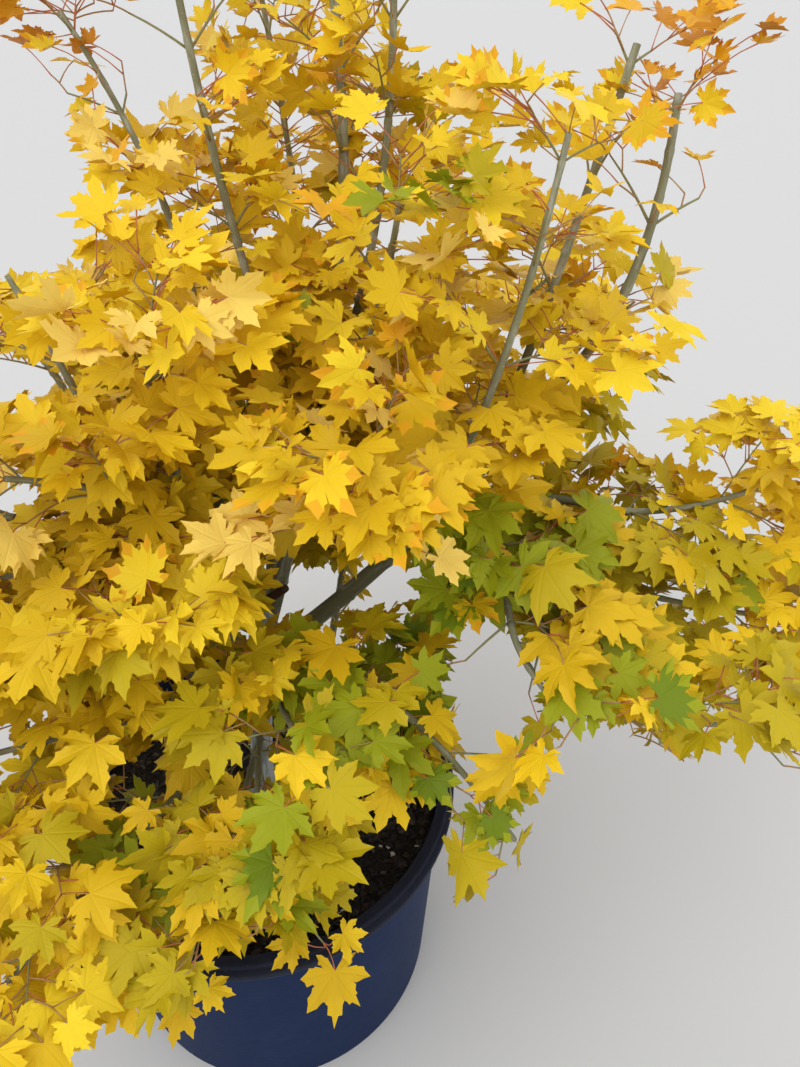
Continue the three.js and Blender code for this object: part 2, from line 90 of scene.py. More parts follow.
# Boughs: the limb each leaves and how far along it, the tip, the radii, and how far the middle is bowed up
BOUGHS = {
    "right_bough": ("trunk", 0.52, (0.450, 0.165, 1.060), (0.013, 0.0065), -0.05),
    "centre_bough": ("trunk", 0.59, (0.125, 0.225, 1.060), (0.011, 0.0075), -0.05),
    "left_bough": ("trunk", 0.7, (-0.250, 0, 0.930), (0.0085, 0.006), -0.02),
    "back_bough": ("trunk", 0.49, (0.020, 0.360, 0.830), (0.009, 0.0065), 0.03),
    "second_stem": ((0.037, 0.014, 0.385), 0, (0.130, 0.250, 0.690), (0.008, 0.0055), -0.16),
    "right_inner_bough": ("right_bough", 0.62, (0.400, 0.215, 1.080), (0.007, 0.0058), -0.08),
    "right_lateral_bough": ("right_bough", 0.55, (0.480, 0.105, 0.880), (0.007, 0.005), 0.08),
    "right_middle_bough": ("right_bough", 0.35, (0.270, 0.015, 0.960), (0.0065, 0.005), -0.05),
    "right_low_bough": ("right_bough", 0.6, (0.395, -0.095, 0.830), (0.0068, 0.005), 0.06),
    "right_hanging_bough": ("right_low_bough", 0.4, (0.348, -0.112, 0.862), (0.005, 0.0042), 0.04),
    "right_under_bough": ("right_bough", 0.44, (0.430, 0.070, 0.805), (0.0065, 0.005), 0.08),
    "front_right_bough": ("trunk", 0.45, (0.150, -0.110, 0.775), (0.006, 0.0045), 0.06),
    "top_left_bough": ("centre_bough", 0.66, (0.040, 0.215, 1.090), (0.0065, 0.0056), -0.08),
    "top_right_bough": ("centre_bough", 0.72, (0.165, 0.250, 1.110), (0.0065, 0.0056), -0.08),
    "top_rear_bough": ("centre_bough", 0.6, (0.075, 0.390, 1.060), (0.0065, 0.0054), -0.06),
    "centre_front_bough": ("centre_bough", 0.42, (0.150, 0.020, 0.960), (0.006, 0.005), -0.03),
    "centre_top_bough": ("centre_bough", 0.55, (0.165, 0.125, 1.060), (0.006, 0.005), -0.06),
    "back_right_bough": ("centre_bough", 0.34, (0.270, 0.400, 0.930), (0.0075, 0.0055), 0.03),
    "left_middle_bough": ("left_bough", 0.4, (-0.125, 0.025, 0.990), (0.006, 0.005), -0.05),
    "left_rear_bough": ("left_bough", 0.5, (-0.230, 0.190, 0.990), (0.006, 0.005), -0.03),
    "back_left_bough": ("trunk", 0.64, (-0.160, 0.330, 0.880), (0.0075, 0.0055), 0.02),
    "upper_left_bough": ("trunk", 0.84, (-0.040, 0.190, 1.090), (0.0065, 0.0052), -0.08),
    "left_low_bough": ("trunk", 0.38, (-0.170, -0.060, 0.770), (0.0075, 0.005), 0.03),
    "left_inner_bough": ("trunk", 0.57, (-0.100, -0.045, 0.860), (0.006, 0.0046), 0.03),
}

# Masses: the limb each grows on, the furthest tip of its stem, the reach of its twigs, its seed.
# One that leaves the trunk's side has the share of the trunk's length where it does, and its own radius.
MASSES = {
    "right_outer_top": ("right_bough", (0.558, 0.300, 1.350), 0.120, 101),
    "right_inner_top": ("right_inner_bough", (0.505, 0.325, 1.400), 0.115, 102),
    "right_lateral": ("right_lateral_bough", (0.800, 0.135, 0.935), 0.140, 103),
    "right_middle": ("right_middle_bough", (0.392, 0.100, 1.340), 0.140, 104),
    "lower_right": ("right_low_bough", (0.645, -0.175, 0.755), 0.140, 105),
    "right_hanging": ("right_hanging_bough", (0.425, -0.200, 0.780), 0.125, 106),
    "right_under": ("right_under_bough", (0.690, 0.020, 0.760), 0.120, 107),
    "front_right": ("front_right_bough", (0.355, -0.250, 0.645), 0.120, 108),
    "top_back": ("centre_bough", (0.060, 0.400, 1.900), 0.120, 109),
    "top_left": ("top_left_bough", (-0.060, 0.360, 1.840), 0.120, 110),
    "top_right": ("top_right_bough", (0.190, 0.425, 1.790), 0.120, 111),
    "top_rear": ("top_rear_bough", (-0.010, 0.600, 1.620), 0.150, 112),
    "centre_front": ("centre_front_bough", (0.175, -0.145, 1.085), 0.140, 113),
    "centre_top": ("centre_top_bough", (0.220, 0.075, 1.280), 0.130, 130),
    "back_right": ("back_right_bough", (0.490, 0.650, 1.010), 0.170, 114),
    "left_outer": ("left_bough", (-0.650, -0.020, 1.000), 0.160, 115),
    "left_middle": ("left_middle_bough", (-0.215, 0.085, 1.200), 0.140, 116),
    "left_rear": ("left_rear_bough", (-0.530, 0.360, 1.090), 0.160, 117),
    "back_left": ("back_left_bough", (-0.330, 0.640, 0.960), 0.165, 118),
    "upper_left": ("upper_left_bough", (-0.200, 0.380, 1.430), 0.130, 119),
    "centre_left": ("trunk", (-0.025, -0.035, 1.200), 0.140, 120),
    "back": ("back_bough", (-0.020, 0.780, 0.930), 0.165, 121),
    "back_low": ("second_stem", (0.230, 0.540, 0.690), 0.140, 122),
    "left_low": ("left_low_bough", (-0.490, -0.130, 0.780), 0.150, 123),
    "left_front": ("trunk", (-0.330, -0.230, 0.735), 0.130, 124, 0.34, 0.006),
    "front_low": ("trunk", (0.025, -0.365, 0.640), 0.130, 125, 0.25, 0.006),
    "front_left": ("trunk", (-0.190, -0.400, 0.620), 0.140, 126, 0.29, 0.006),
    "left_inner": ("left_inner_bough", (-0.330, -0.110, 0.910), 0.130, 127),
    "centre_low": ("trunk", (0.110, -0.240, 0.815), 0.120, 128, 0.43, 0.005),
    "front_middle": ("trunk", (0.060, -0.270, 0.700), 0.120, 131, 0.32, 0.005),
    "centre_inner": ("trunk", (-0.030, -0.175, 0.930), 0.130, 129, 0.5, 0.005),
    "left_face": ("trunk", (-0.170, -0.130, 1.070), 0.130, 132, 0.88, 0.005),
}
PRUNED = {"right_outer_top": 0.005, "right_inner_top": 0.005, "right_middle": 0.0036}
STEM_TIP_RADIUS = 0.0032
STEM_FOLLOW = 0.42
STEM_RISE = 0.1

# The branching rule: pairs of twigs at even nodes, each pair turned a quarter round from the last
NODE_SPACING = 0.110
FIRST_NODE = 0.16
LAST_NODE = 0.93
LEAST_NODES = 3
TURN_PLAY = 0.4
TWIG_LEAN = (0.65, 1.1)
TWIG_PLAY = (0.75, 1.05)
TWIG_LIFT = 0.16
TWIG_LEAST = 0.5
TWIG_SHARE = 0.5
SCALE_PLAY = (0.85, 1.1)
ROLL_PLAY = 0.5
SOLID_LEAF = 0.140

# Twigs: how far they sag, how much slimmer they are than their solids, their points, sides and tip
SAG = 0.14
SLIM = 0.75
TWIG_POINTS = 5
TWIG_SIDES = 5
TWIG_TIP_RADIUS = 0.0010

# Finer twigs: the share of a twig where each pair leaves it and the pair's share of its reach, and their play
FINE_AT = ((0.36, 0.55), (0.68, 0.45))
FINE_MOVED = 0.08
FINE_SPLAY = (0.7, 1.4)
FINE_WANDER = 0.15
FINE_LIFT = 0.08
FINE_FROM_REACH = 0.09
FINE_PLAY = (0.75, 1.2)
FINE_RADIUS = (0.62, 0.45)

# Leafy spurs on the limbs: how far apart, from which share of a limb on, and their play
SPUR_SPACING = 0.055
SPURS_FROM = {"right_bough": 0.6, "centre_bough": 0.6, "left_bough": 0.3, "second_stem": 0.7}
SPURS_FROM_ELSE = 0.45
SPUR_LAST = 0.98
SPUR_TURN = 1.9
SPUR_WANDER = 0.3
SPUR_LEAN = (0.4, 0.9)
SPUR_LIFT = 0.15
SPUR_REACH = (0.35, 0.75)
SPUR_RADIUS = 0.4

# Leaf pairs: how far a pair is moved along its twig, how far the stalks splay, wander and rise, and the
# shares of a twig, of a finer one and of a stem where they are
PAIR_MOVED = 0.04
PAIR_SPLAY = (0.5, 1.3)
TIP_SPLAY = (0.4, 1.1)
PAIR_WANDER = 0.2
PAIR_RISE = 0.35
TWIG_PAIRS = (0.55, 0.97)
FINE_TIP = (0.97,)
FINE_PAIR = (0.5,)
STEM_PAIR_LAST = 0.995
STEM_PAIR_WANDER = 0.25
STEM_PAIR_LEAN = (0.5, 1.1)

# The crown's height as a share: 0 up to the first level, 1 past the second one's distance above it
UPRIGHTS = (0.95, 0.55)
TINTS_UP = (0.95, 0.6)
BARE = (1.32, 0.20)

# A blade one long from its heart to the tip of its middle lobe: half of a lobe's rim from notch to tip, the
# end of its vein, and how far from the heart the notches lie
LOBES = 7
LOBE_TURN = np.radians(41)
LOBE_RIM = ((0.57, 0.212), (0.635, 0.160), (0.765, 0.168), (0.810, 0.098), (1.0, 0.0))
LOBE_LOSS = 0.050
VEIN_END = 0.55
OFF_VEIN = 4
NOTCH = 0.39
BASE_NOTCH = 0.27

# How each leaf departs from that blade. A pair is the value low in the crown and the one high up.
RAGGED = 0.018
NOTCH_PLAY = 0.14
NOTCH_HIGH = 0.20
LOBE_PLAY = ((2, 0.05), (5, 0.05))
PHASE = 6.3
FOLD = (0.14, 0.38)
FOLD_NARROWS = 0.30
DOMED = 0.11
DROOP = ((-0.05, 0.34), (-0.42, 0.10))
SIDE_CURL = 0.22
TWIST = 0.16
RIPPLE = (0.07, 0.05)
LOBE_RIPPLE = 0.035
WIDTH_PLAY = (0.88, 1.06)

# Leaf sizes, stalks, and the way a face looks and a blade hangs, low down and high up
LEAF_SIZE = (0.050, 0.037)
SIZE_PLAY = (0.68, 1.20)
STALK_LENGTH = (0.034, 0.060)
STALK_PLAY = (0.75, 1.25)
STALK_BEND = 0.6
STALK_RADII = (0.0011, 0.0008, 0.0008, 0.0010)
STALK_SIDES = 3
STALK_PALE = 0.3
STALK_FOLLOW = 0.25
FACING = ((0.03, -0.30, 0.95), (0.04, -0.42, 0.90))
FACING_PLAY = 0.24
ROLL = 0.40
LEVEL = 0.35
HANG = ((0.05, 0.62), (-0.30, 0.45))
SQUARED = (0.25, 0.60)

# What a blade keeps clear of: the pot, the limbs, its neighbours, and its mass's own reach from the stem
POT_ROOM = 0.006
BLADE_ROOM = 0.01
LIMB_ROOM = 0.014
LEAF_GAP = 0.021
AROUND = np.array(list(np.ndindex(3, 3, 3))) - 1
REACH_SHARE = 0.75
BLADE_MIDDLE = 0.35
BLADE_SIDE = 0.8
LIMB_PROBES = 16
STEM_PROBES = 24
SHOWN_PROBES = 60

# Share of the leaf places that are filled: in the lower crown, high up, and in some masses. Those by a stem's
# tip are kept.
FILLED = (1.0, 0.34)
FULLNESS = {
    "right_outer_top": 0.34,
    "right_inner_top": 0.42,
    "right_middle": 0.75,
    "front_low": 0.8,
    "centre_low": 0.8,
    "upper_left": 1.4,
}
TIP_KEPT = 0.035

# The gaps that are seen through the leaves or past them, in pixels: each one's middle and half its size
OPENINGS = {
    "bough": (312, 590, 36, 20),
    "gap_by_bough": (388, 590, 18, 26),
    "gap_inside": (492, 690, 33, 60),
    "gap_below": (608, 770, 56, 36),
    "rim": (432, 850, 14, 40),
    "mulch": (385, 868, 20, 36),
    "twig_fork": (205, 670, 16, 14),
    "trunk_foot": (252, 766, 19, 26),
    "mulch_left": (165, 772, 10, 20),
    "right_of_pot": (716, 960, 230, 195),
    "pot_wall": (252, 1034, 62, 54),
    "lip_front": (236, 975, 46, 14),
    "past_left": (21, 115, 42, 58),
    "past_left_edge": (18, 246, 48, 27),
    "past_left_low": (10, 382, 38, 20),
    "past_left_foot": (6, 502, 24, 24),
    "past_right": (768, 200, 54, 82),
    "by_shoot": (156, 62, 30, 62),
    "over_right": (470, 25, 66, 40),
}
TWIG_PROBES = (0.3, 0.6, 0.95)

# The stems that are seen through the leaves, from which share of their length, how close beside them in the
# photograph most leaves keep off, and how close to a pruned end all do
SHOWN = {
    "right_outer_top": 0.25,
    "right_inner_top": 0.25,
    "right_middle": 0.45,
    "top_left": 0.15,
    "top_back": 0.10,
    "top_right": 0.10,
    "top_rear": 0.20,
}
SHOWN_BESIDE = 7
SHOWN_SHARE = 0.8
CUT_BESIDE = 17
CUT_DEPTH = 0.02

# Leaf tints. After each, how likely it is: anywhere, then what is added high up, low down, at the upper left,
# in the core of the crown, where it is olive, where it is green, and in the middle of a green patch. The
# paler tints added high up are in part the leaves' own and in part painted light and sheen. Those added at
# the upper left are painted light, and the deep gold added in the core is painted shade.
LEAF_TINTS = {
    "leaf_lemon": ((0.86, 0.62, 0.020), (0.20, 0.26, -0.15, 0.25, -0.18, 0, 0, 0)),
    "leaf_gold": ((0.85, 0.57, 0.014), (0.42, 0.04, -0.12, 0, -0.36, 0, 0, 0)),
    "leaf_deep_gold": ((0.70, 0.45, 0.009), (0.30, -0.24, 0.30, -0.20, 0.75, 0, 0, 0)),
    "leaf_straw": ((0.90, 0.64, 0.120), (0.02, 0.28, 0, 0.10, 0, 0, 0, 0)),
    "leaf_olive_gold": ((0.51, 0.385, 0.008), (0.05, 0, 0, 0, 0, 1.3, 0.5, 0)),
    "leaf_yellow_green": ((0.32, 0.345, 0.009), (0.005, 0, 0, 0, 0, 0.06, 3.2, 0)),
    "leaf_green": ((0.165, 0.230, 0.007), (0, 0, 0, 0, 0, 0, 0, 3.2)),
    "leaf_amber": ((0.80, 0.41, 0.012), None),
    "leaf_scorched": ((0.60, 0.25, 0.014), None),
}
TINTS = list(LEAF_TINTS)

# The tint of the lobes' ends where it isn't the leaf's own, in a sound leaf and in a scorched one
SOUND_END = {"leaf_green": "leaf_yellow_green"}
SCORCHED_END = {
    "leaf_scorched": "leaf_scorched",
    "leaf_amber": "leaf_scorched",
    "leaf_green": "leaf_olive_gold",
    "leaf_yellow_green": "leaf_gold",
}
SCORCHED_ELSE = "leaf_amber"

# Where the leaves are still green, the core of the crown, where deeper gold is painted shade, and the shoots
# whose tips are driest. An area is its middle and how far it reaches. A slope is the level where it starts
# and the distance that it takes.
GREEN_PATCHES = (((0.21, -0.16, 0.72), (0.17, 0.18, 0.15)), ((0.28, -0.11, 0.90), (0.11, 0.14, 0.08)))
PAINTED_SHADE_CORE = ((0.18, -0.08, 1.00), (0.22, 0.22, 0.16))
LOW = (0.93, 0.14)
OLIVE_RIGHT = (-0.10, 0.40)
OLIVE_LEAST = 0.13
# The upper left, where paler tints are painted light: a slope across and one upwards
PAINTED_LIGHT_LEFT = (0.05, 0.30)
PAINTED_LIGHT_LEFT_UP = (0.85, 0.15)
DRY_SHOOTS = ("right_outer_top", "upper_left")
DRY_REACH = 0.13
SPRAY_MIDDLE = 0.06
OWN_TINT = 0.30

# The luck under which a leaf is amber, scorched or burnt at its ends: anywhere, then what is added high up
# and where it is dry
AMBER = (0.004, 0.05, 0.60)
SCORCHED = 0.30
END_BURNT = (0.01, 0.20, 0.50)

# The sprays that hang over the front of the pot's lip, all from one stem. For each, the share of the stem
# where its twig leaves and the twig's tip, then for each leaf its heart, the way its middle lobe points, its
# length and its tint.
LIP_STEM = "front_low"
LIP_SPRAYS = (
    (
        0.72,
        (0.124, -0.288, 0.482),
        (
            ((0.139, -0.313, 0.462), (0.04, -0.91, -0.41), 0.060, "leaf_deep_gold"),
            ((0.148, -0.282, 0.492), (0.80, -0.55, -0.22), 0.036, "leaf_gold"),
            ((0.090, -0.296, 0.503), (-0.62, -0.74, -0.26), 0.040, "leaf_deep_gold"),
        ),
    ),
    (
        0.62,
        (-0.042, -0.318, 0.470),
        (
            ((-0.048, -0.345, 0.442), (-0.16, -0.85, -0.40), 0.043, "leaf_deep_gold"),
            ((-0.012, -0.336, 0.470), (0.60, -0.75, -0.28), 0.034, "leaf_gold"),
        ),
    ),
)
LIP_TWIG_BOW = 0.09
LIP_TWIG_RADII = (0.0018, 0.0010)
LIP_TWIG_POINTS = 12
LIP_FACING = (0.07, -0.41, 0.91)
LIP_SEED = 140

TINY = 1e-12


def unit(v):
    """Each row's direction, one long."""
    return v / np.maximum(np.linalg.norm(v, axis=-1, keepdims=True), TINY)


def turned_about(v, axis, angle):
    """v turned by an angle about a unit axis: its part along the axis stays, and the rest goes round."""
    c, s = np.cos(angle), np.sin(angle)
    return v * c + np.cross(axis, v) * s + axis * np.dot(axis, v) * (1 - c)


def mix(a, b, t):
    """The value t of the way from a to b."""
    return a + (b - a) * t


def share_past(value, start, over):
    """0 up to the start, 1 past a distance over it, and even between."""
    return np.clip((value - start) / over, 0, 1)


def turns(count):
    """Even angles all the way round."""
    return np.linspace(0, 2 * np.pi, count, endpoint=False)


def ring_round(across, side, angle):
    """The directions at angles round an axis, from two that are square to it and to each other."""
    return across[..., None, :] * np.cos(angle)[:, None] + side[..., None, :] * np.sin(angle)[:, None]


class Draws:
    """Repeatable draws from a seed: a linear congruence modulo 2 to the 32."""

    def __init__(self, seed):
        self.state = seed * 2654435761 % 2**32

    def between(self, low, high):
        self.state = (self.state * 1664525 + 1013904223) % 2**32
        return low + (high - low) * self.state / 2**32


class Path:
    """A curve measured along its own length: points, directions and frames at shares of it from 0 to 1."""

    FINE = 200
    NEAR = 1e-4

    def __init__(self, curve):
        self.curve = curve
        self.u = np.linspace(0, 1, self.FINE + 1)
        steps = np.linalg.norm(np.diff(curve(self.u), axis=0), axis=1)
        self.run = np.concatenate([[0], np.cumsum(steps)])
        self.length = self.run[-1]

    def parameter(self, t):
        return np.interp(np.atleast_1d(t) * self.length, self.run, self.u)

    def at(self, t):
        return self.curve(self.parameter(t))

    def toward(self, t):
        u = self.parameter(t)
        return unit(self.curve(np.minimum(u + self.NEAR, 1)) - self.curve(np.maximum(u - self.NEAR, 0)))

    def normals(self, t):
        """One normal for each t: the first is square to the curve on the side of its least steep axis, and
        each next one is the last, turned by as much as the curve itself has turned."""
        tangents = self.toward(t)
        least = 2 - np.argmin(np.abs(tangents[0])[::-1])
        across = unit(np.cross(tangents[0], np.eye(3)[least]))
        found = [np.cross(tangents[0], across)]
        for before, after in zip(tangents[:-1], tangents[1:]):
            axis = np.cross(before, after)
            size = np.linalg.norm(axis)
            turn = np.arccos(np.clip(np.dot(before, after), -1, 1))
            found.append(turned_about(found[-1], axis / size, turn) if size > TINY else found[-1])
        return np.array(found)

    def around(self, t, turn):
        """At shares t, the directions square to the curve at a turn about it, and the curve's own."""
        along = self.toward(t)
        across = unit(np.cross(along, np.eye(3)[np.argmin(np.abs(along), axis=1)]))
        side = np.cross(along, across)
        return across * np.cos(turn)[:, None] + side * np.sin(turn)[:, None], along


def arc(start, middle, tip):
    """The quadratic arc from start to tip that its middle point pulls out."""
    start, middle, tip = (np.asarray(p, float) for p in (start, middle, tip))
    return lambda u: (
        start * ((1 - u) ** 2)[:, None] + middle * (2 * u * (1 - u))[:, None] + tip * (u**2)[:, None]
    )


def through(points):
    """A smooth curve through points: a centripetal cubic on each stretch, with the ends run straight on."""
    rows = np.vstack([2 * points[0] - points[1], points, 2 * points[-1] - points[-2]])
    gap = np.linalg.norm(np.diff(rows, axis=0), axis=1) ** 0.5

    def curve(u):
        along = u * (len(points) - 1)
        piece = np.minimum(along.astype(int), len(points) - 2)
        w = (along - piece)[:, None]
        p0, p1, p2, p3 = (rows[piece + k] for k in range(4))
        d0, d1, d2 = (gap[piece + k][:, None] for k in range(3))
        m1 = ((p1 - p0) / d0 - (p2 - p0) / (d0 + d1) + (p2 - p1) / d1) * d1
        m2 = ((p2 - p1) / d1 - (p3 - p1) / (d1 + d2) + (p3 - p2) / d2) * d1
        return p1 + w * m1 + w**2 * (3 * (p2 - p1) - 2 * m1 - m2) + w**3 * (2 * (p1 - p2) + m1 + m2)

    return curve


def bowed(start, tip, bow):
    """The arc from start to tip with its middle bowed up by a share of the span."""
    start, tip = np.asarray(start, float), np.asarray(tip, float)
    middle = (start + tip) / 2 + UP * 2 * bow * np.linalg.norm(tip - start)
    return Path(arc(start, middle, tip))


trunk = Path(through(TRUNK_PATH))
limbs = {"trunk": (trunk, TRUNK_RADII)}
limbs["dead_stub"] = (bowed(trunk.at(STUB_AT)[0], STUB_TIP, 0), STUB_RADII)
for name, (parent, at, tip, radii, bow) in BOUGHS.items():
    foot = limbs[parent][0].at(at)[0] if isinstance(parent, str) else parent
    limbs[name] = (bowed(foot, tip, bow), radii)


def stem_of(name):
    """The stem of a mass as a path and its two radii: on from its limb's tip, or out of the trunk's side."""
    limb, tip, _, _, *side = MASSES[name]
    path, radii = limbs[limb]
    tip = np.array(tip)
    if side:
        start = path.at(side[0])[0]
        along = unit(tip - start)
    else:
        along = path.toward(1)[0]
        start = path.at(1)[0] + along * STEM_GAP
    span = np.linalg.norm(tip - start)
    middle = start + along * STEM_FOLLOW * span + UP * (STEM_RISE * span if side else 0)
    tip_radius = PRUNED.get(name, STEM_TIP_RADIUS)
    return Path(arc(start, middle, tip)), (side[1] if side else radii[1], tip_radius)


stems = {name: stem_of(name) for name in MASSES}


def many(corners, faces):
    """The same faces on each of many sets of corners, as one list of corners and one of triangles."""
    copies, each = corners.shape[:2]
    moved = faces[None] + (np.arange(copies) * each)[:, None, None]
    return corners.reshape(-1, 3), moved.reshape(-1, 3)


def bars(rings):
    """Corners and triangles of closed bars, from rings of corners (bars, rings, sides, xyz).

    Ring k and ring k + 1 are joined all round, and the first and last rings are filled to their middle."""
    count, sides = rings.shape[1:3]
    ends = np.stack([rings[:, 0].mean(1), rings[:, -1].mean(1)], axis=1)
    corners = np.concatenate([rings.reshape(len(rings), -1, 3), ends], axis=1)
    side = np.arange(sides)
    following = (side + 1) % sides
    ring = (np.arange(count - 1) * sides)[:, None]
    a, b = (ring + side).ravel(), (ring + following).ravel()
    top = (count - 1) * sides
    first = np.full(sides, count * sides)
    faces = [(a, b, b + sides), (a, b + sides, a + sides)]
    faces += [(first, following, side), (first + 1, top + side, top + following)]
    return many(corners, np.concatenate([np.stack(face, axis=1) for face in faces]))


def round_rings(spines, radii, sides):
    """Rings of corners about spines (bars, points, xyz): each ring is a circle square to its spine, its zero
    angle on the side of the axis that the bar as a whole leans to least."""
    toward = unit(np.gradient(spines, axis=1))
    whole = spines[:, -1] - spines[:, 0]
    lean = np.eye(3)[np.argmin(np.abs(whole), axis=1)][:, None]
    across = unit(lean - toward * (lean * toward).sum(-1, keepdims=True))
    ring = ring_round(across, np.cross(toward, across), turns(sides))
    return spines[:, :, None] + ring * radii[:, :, None, None]


def fill(data, label, values, kind=np.float32):
    """One property of all the items of a mesh, from an array."""
    data.foreach_set(label, np.ascontiguousarray(values, kind).ravel())


def add_mesh(name, corners, faces, materials, which=None, smooth=True, lay=None, flat=None):
    """A mesh object at the origin from corners and triangles, with a material number for each triangle.

    lay holds each corner's place on the limb laid out straight, and flat its place on the flat leaf."""
    mesh = bpy.data.meshes.new(name)
    mesh.vertices.add(len(corners))
    mesh.loops.add(faces.size)
    mesh.polygons.add(len(faces))
    fill(mesh.vertices, "co", corners)
    fill(mesh.loops, "vertex_index", faces, np.int32)
    fill(mesh.polygons, "loop_start", np.arange(0, faces.size, 3), np.int32)
    fill(mesh.polygons, "use_smooth", np.full(len(faces), smooth), bool)
    for material in materials:
        mesh.materials.append(material)
    if which is not None:
        fill(mesh.polygons, "material_index", which, np.int32)
    if lay is not None:
        fill(mesh.attributes.new("lay", "FLOAT_VECTOR", "POINT").data, "vector", lay)
    if flat is not None:
        fill(mesh.uv_layers.new(name="blade").data, "uv", flat[faces.ravel()])
    mesh.update(calc_edges=True)
    made = bpy.data.objects.new(name, mesh)
    bpy.context.scene.collection.objects.link(made)
    return made


def part(made, node):
    """A piece of the plant: it rides with the body, and the solid of its node is hidden."""
    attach(made, "root")
    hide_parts(node)


class Web:
    """The nodes of one tree. Each method adds one, feeds it sockets or plain values and gives its output."""

    def __init__(self, tree):
        self.nodes, self.links = tree.nodes, tree.links

    def feed(self, socket, value):
        if isinstance(value, bpy.types.NodeSocket):
            self.links.new(value, socket)
        else:
            socket.default_value = value

    def add(self, kind, output, fed, **settings):
        node = self.nodes.new("ShaderNode" + kind)
        for label, value in settings.items():
            setattr(node, label, value)
        for label, value in fed.items():
            self.feed(node.inputs[label], value)
        return node.outputs[output] if output is not None else node.outputs

    def place(self):
        """The piece's own coordinates."""
        return self.add("TexCoord", "Object", {})

    def noise(self, vector, waves, detail, rough=0.55):
        """A noise on a vector at a number of waves to the metre."""
        fed = {"Vector": vector, "Scale": waves, "Detail": detail, "Roughness": rough}
        return self.add("TexNoise", "Fac", fed)

    def ramp(self, value, low, high):
        """0 where the value is under low, 1 over high, and smooth between."""
        fed = {"Value": value, "From Min": low, "From Max": high}
        return self.add("MapRange", "Result", fed, interpolation_type="SMOOTHSTEP")

    def spread(self, value, low, high):
        """A value from 0 to 1 spread from low to high."""
        return self.add("MapRange", "Result", {"Value": value, "To Min": low, "To Max": high})

    def blend(self, share, *colors):
        """The first colour where the share is 0 and the second where it is 1."""
        first, second = ((*color, 1) if isinstance(color, tuple) else color for color in colors)
        return self.add("Mix", 2, {"Factor": share, 6: first, 7: second}, data_type="RGBA")

    def math(self, kind, *values):
        return self.add("Math", 0, dict(enumerate(values)), operation=kind)

    def bump(self, height, distance, strength=1.0):
        return self.add("Bump", "Normal", {"Height": height, "Distance": distance, "Strength": strength})


def new_material(name, color, roughness, specular=0.4):
    """A plain material, the inputs of its shader and its nodes."""
    material = bpy.data.materials.new(name)
    material.use_nodes = True
    inputs = material.node_tree.nodes["Principled BSDF"].inputs
    inputs["Base Color"].default_value = (*color, 1)
    inputs["Roughness"].default_value = roughness
    inputs["Specular IOR Level"].default_value = specular
    return material, inputs, Web(material.node_tree)


def grained_material(name, color, roughness, waves, depth):
    """A plain tint with fine grain in its surface."""
    material, inputs, web = new_material(name, color, roughness)
    web.feed(inputs["Normal"], web.bump(web.noise(web.place(), waves, 3), depth))
    return material


def build_group(name, takes, gives):
    """A node group from the kinds of its inputs and outputs by name, with its nodes and the two ends."""
    group = bpy.data.node_groups.new(name, "ShaderNodeTree")
    for way, sockets in (("INPUT", takes), ("OUTPUT", gives)):
        for label, kind in sockets.items():
            group.interface.new_socket(label, in_out=way, socket_type="NodeSocket" + kind)
    start, end = (group.nodes.new("NodeGroup" + kind) for kind in ("Input", "Output"))
    return group, Web(group), start.outputs, end.inputs


def bark_group():
    """Bark on a limb laid out straight: long faint streaks, a patchy bloom, raised pores and fine grain.

    The limb's own coordinates are squeezed along it for the streaks and across it for the pores."""
    takes = {"Bark": "Color", "Bloom": "Color", "Pores": "Color", "Bloom Share": "Float"}
    gives = {"Color": "Color", "Height": "Float", "Roughness": "Float"}
    group, web, start, end = build_group("bark", takes, gives)
    lay = web.add("Attribute", "Vector", {}, attribute_name="lay")

    def squeezed(across, along):
        return web.add("Mapping", "Vector", {"Vector": lay, "Scale": (across, across, along)})

    streak = web.noise(squeezed(1, 0.12), 260, 5)
    patch = web.noise(squeezed(1, 0.45), 42, 4)
    pore = web.noise(squeezed(0.35, 1.5), 420, 1)
    fine = web.noise(squeezed(1, 0.6), 900, 3)
    edge = web.math("SUBTRACT", web.math("MULTIPLY_ADD", streak, 0.6, patch), start["Bloom Share"])
    bark = web.blend(web.ramp(edge, 0.15, 0.45), start["Bloom"], start["Bark"])
    spots = web.ramp(pore, 0.66, 0.74)
    relief = web.math("MULTIPLY_ADD", streak, 0.8, spots)
    web.feed(end["Color"], web.blend(spots, bark, start["Pores"]))
    web.feed(end["Height"], web.math("MULTIPLY_ADD", fine, 0.35, relief))
    web.feed(end["Roughness"], web.spread(patch, 0.55, 0.85))
    return group


def bark_material(name, group, bark, bloom, pores, share, depth):
    """Bark in its two colours and its pores, with its relief."""
    material, inputs, web = new_material(name, bark, 0.7, 0.3)
    fed = {"Bark": (*bark, 1), "Bloom": (*bloom, 1), "Pores": (*pores, 1), "Bloom Share": share}
    look = web.add("Group", None, fed, node_tree=group)
    web.feed(inputs["Base Color"], look["Color"])
    web.feed(inputs["Roughness"], look["Roughness"])
    web.feed(inputs["Normal"], web.bump(look["Height"], depth, 0.7))
    return material


def pot_material(name, deep, dusty, scuffed, specks):
    """Dark moulded plastic: a soft mottle in the gloss, fine scuffs, and dust on it in patches and specks."""
    material, inputs, web = new_material(name, deep, 0.45, 0.04)
    place = web.place()
    slanted = web.add("Mapping", "Vector", {"Vector": place, "Scale": (1, 1, 6), "Rotation": (0.2, 0.35, 0)})
    scuff = web.noise(slanted, 55, 6, 0.7)
    color = web.blend(web.ramp(web.noise(place, 9, 5), 0.52, 0.8), deep, dusty)
    color = web.blend(web.ramp(scuff, 0.62, 0.78), color, scuffed)
    color = web.blend(web.ramp(web.noise(place, 380, 2), 0.7, 0.76), color, specks)
    web.feed(inputs["Base Color"], color)
    web.feed(inputs["Roughness"], web.spread(scuff, 0.34, 0.62))
    web.feed(inputs["Normal"], web.bump(scuff, 0.0004, 0.5))
    return material


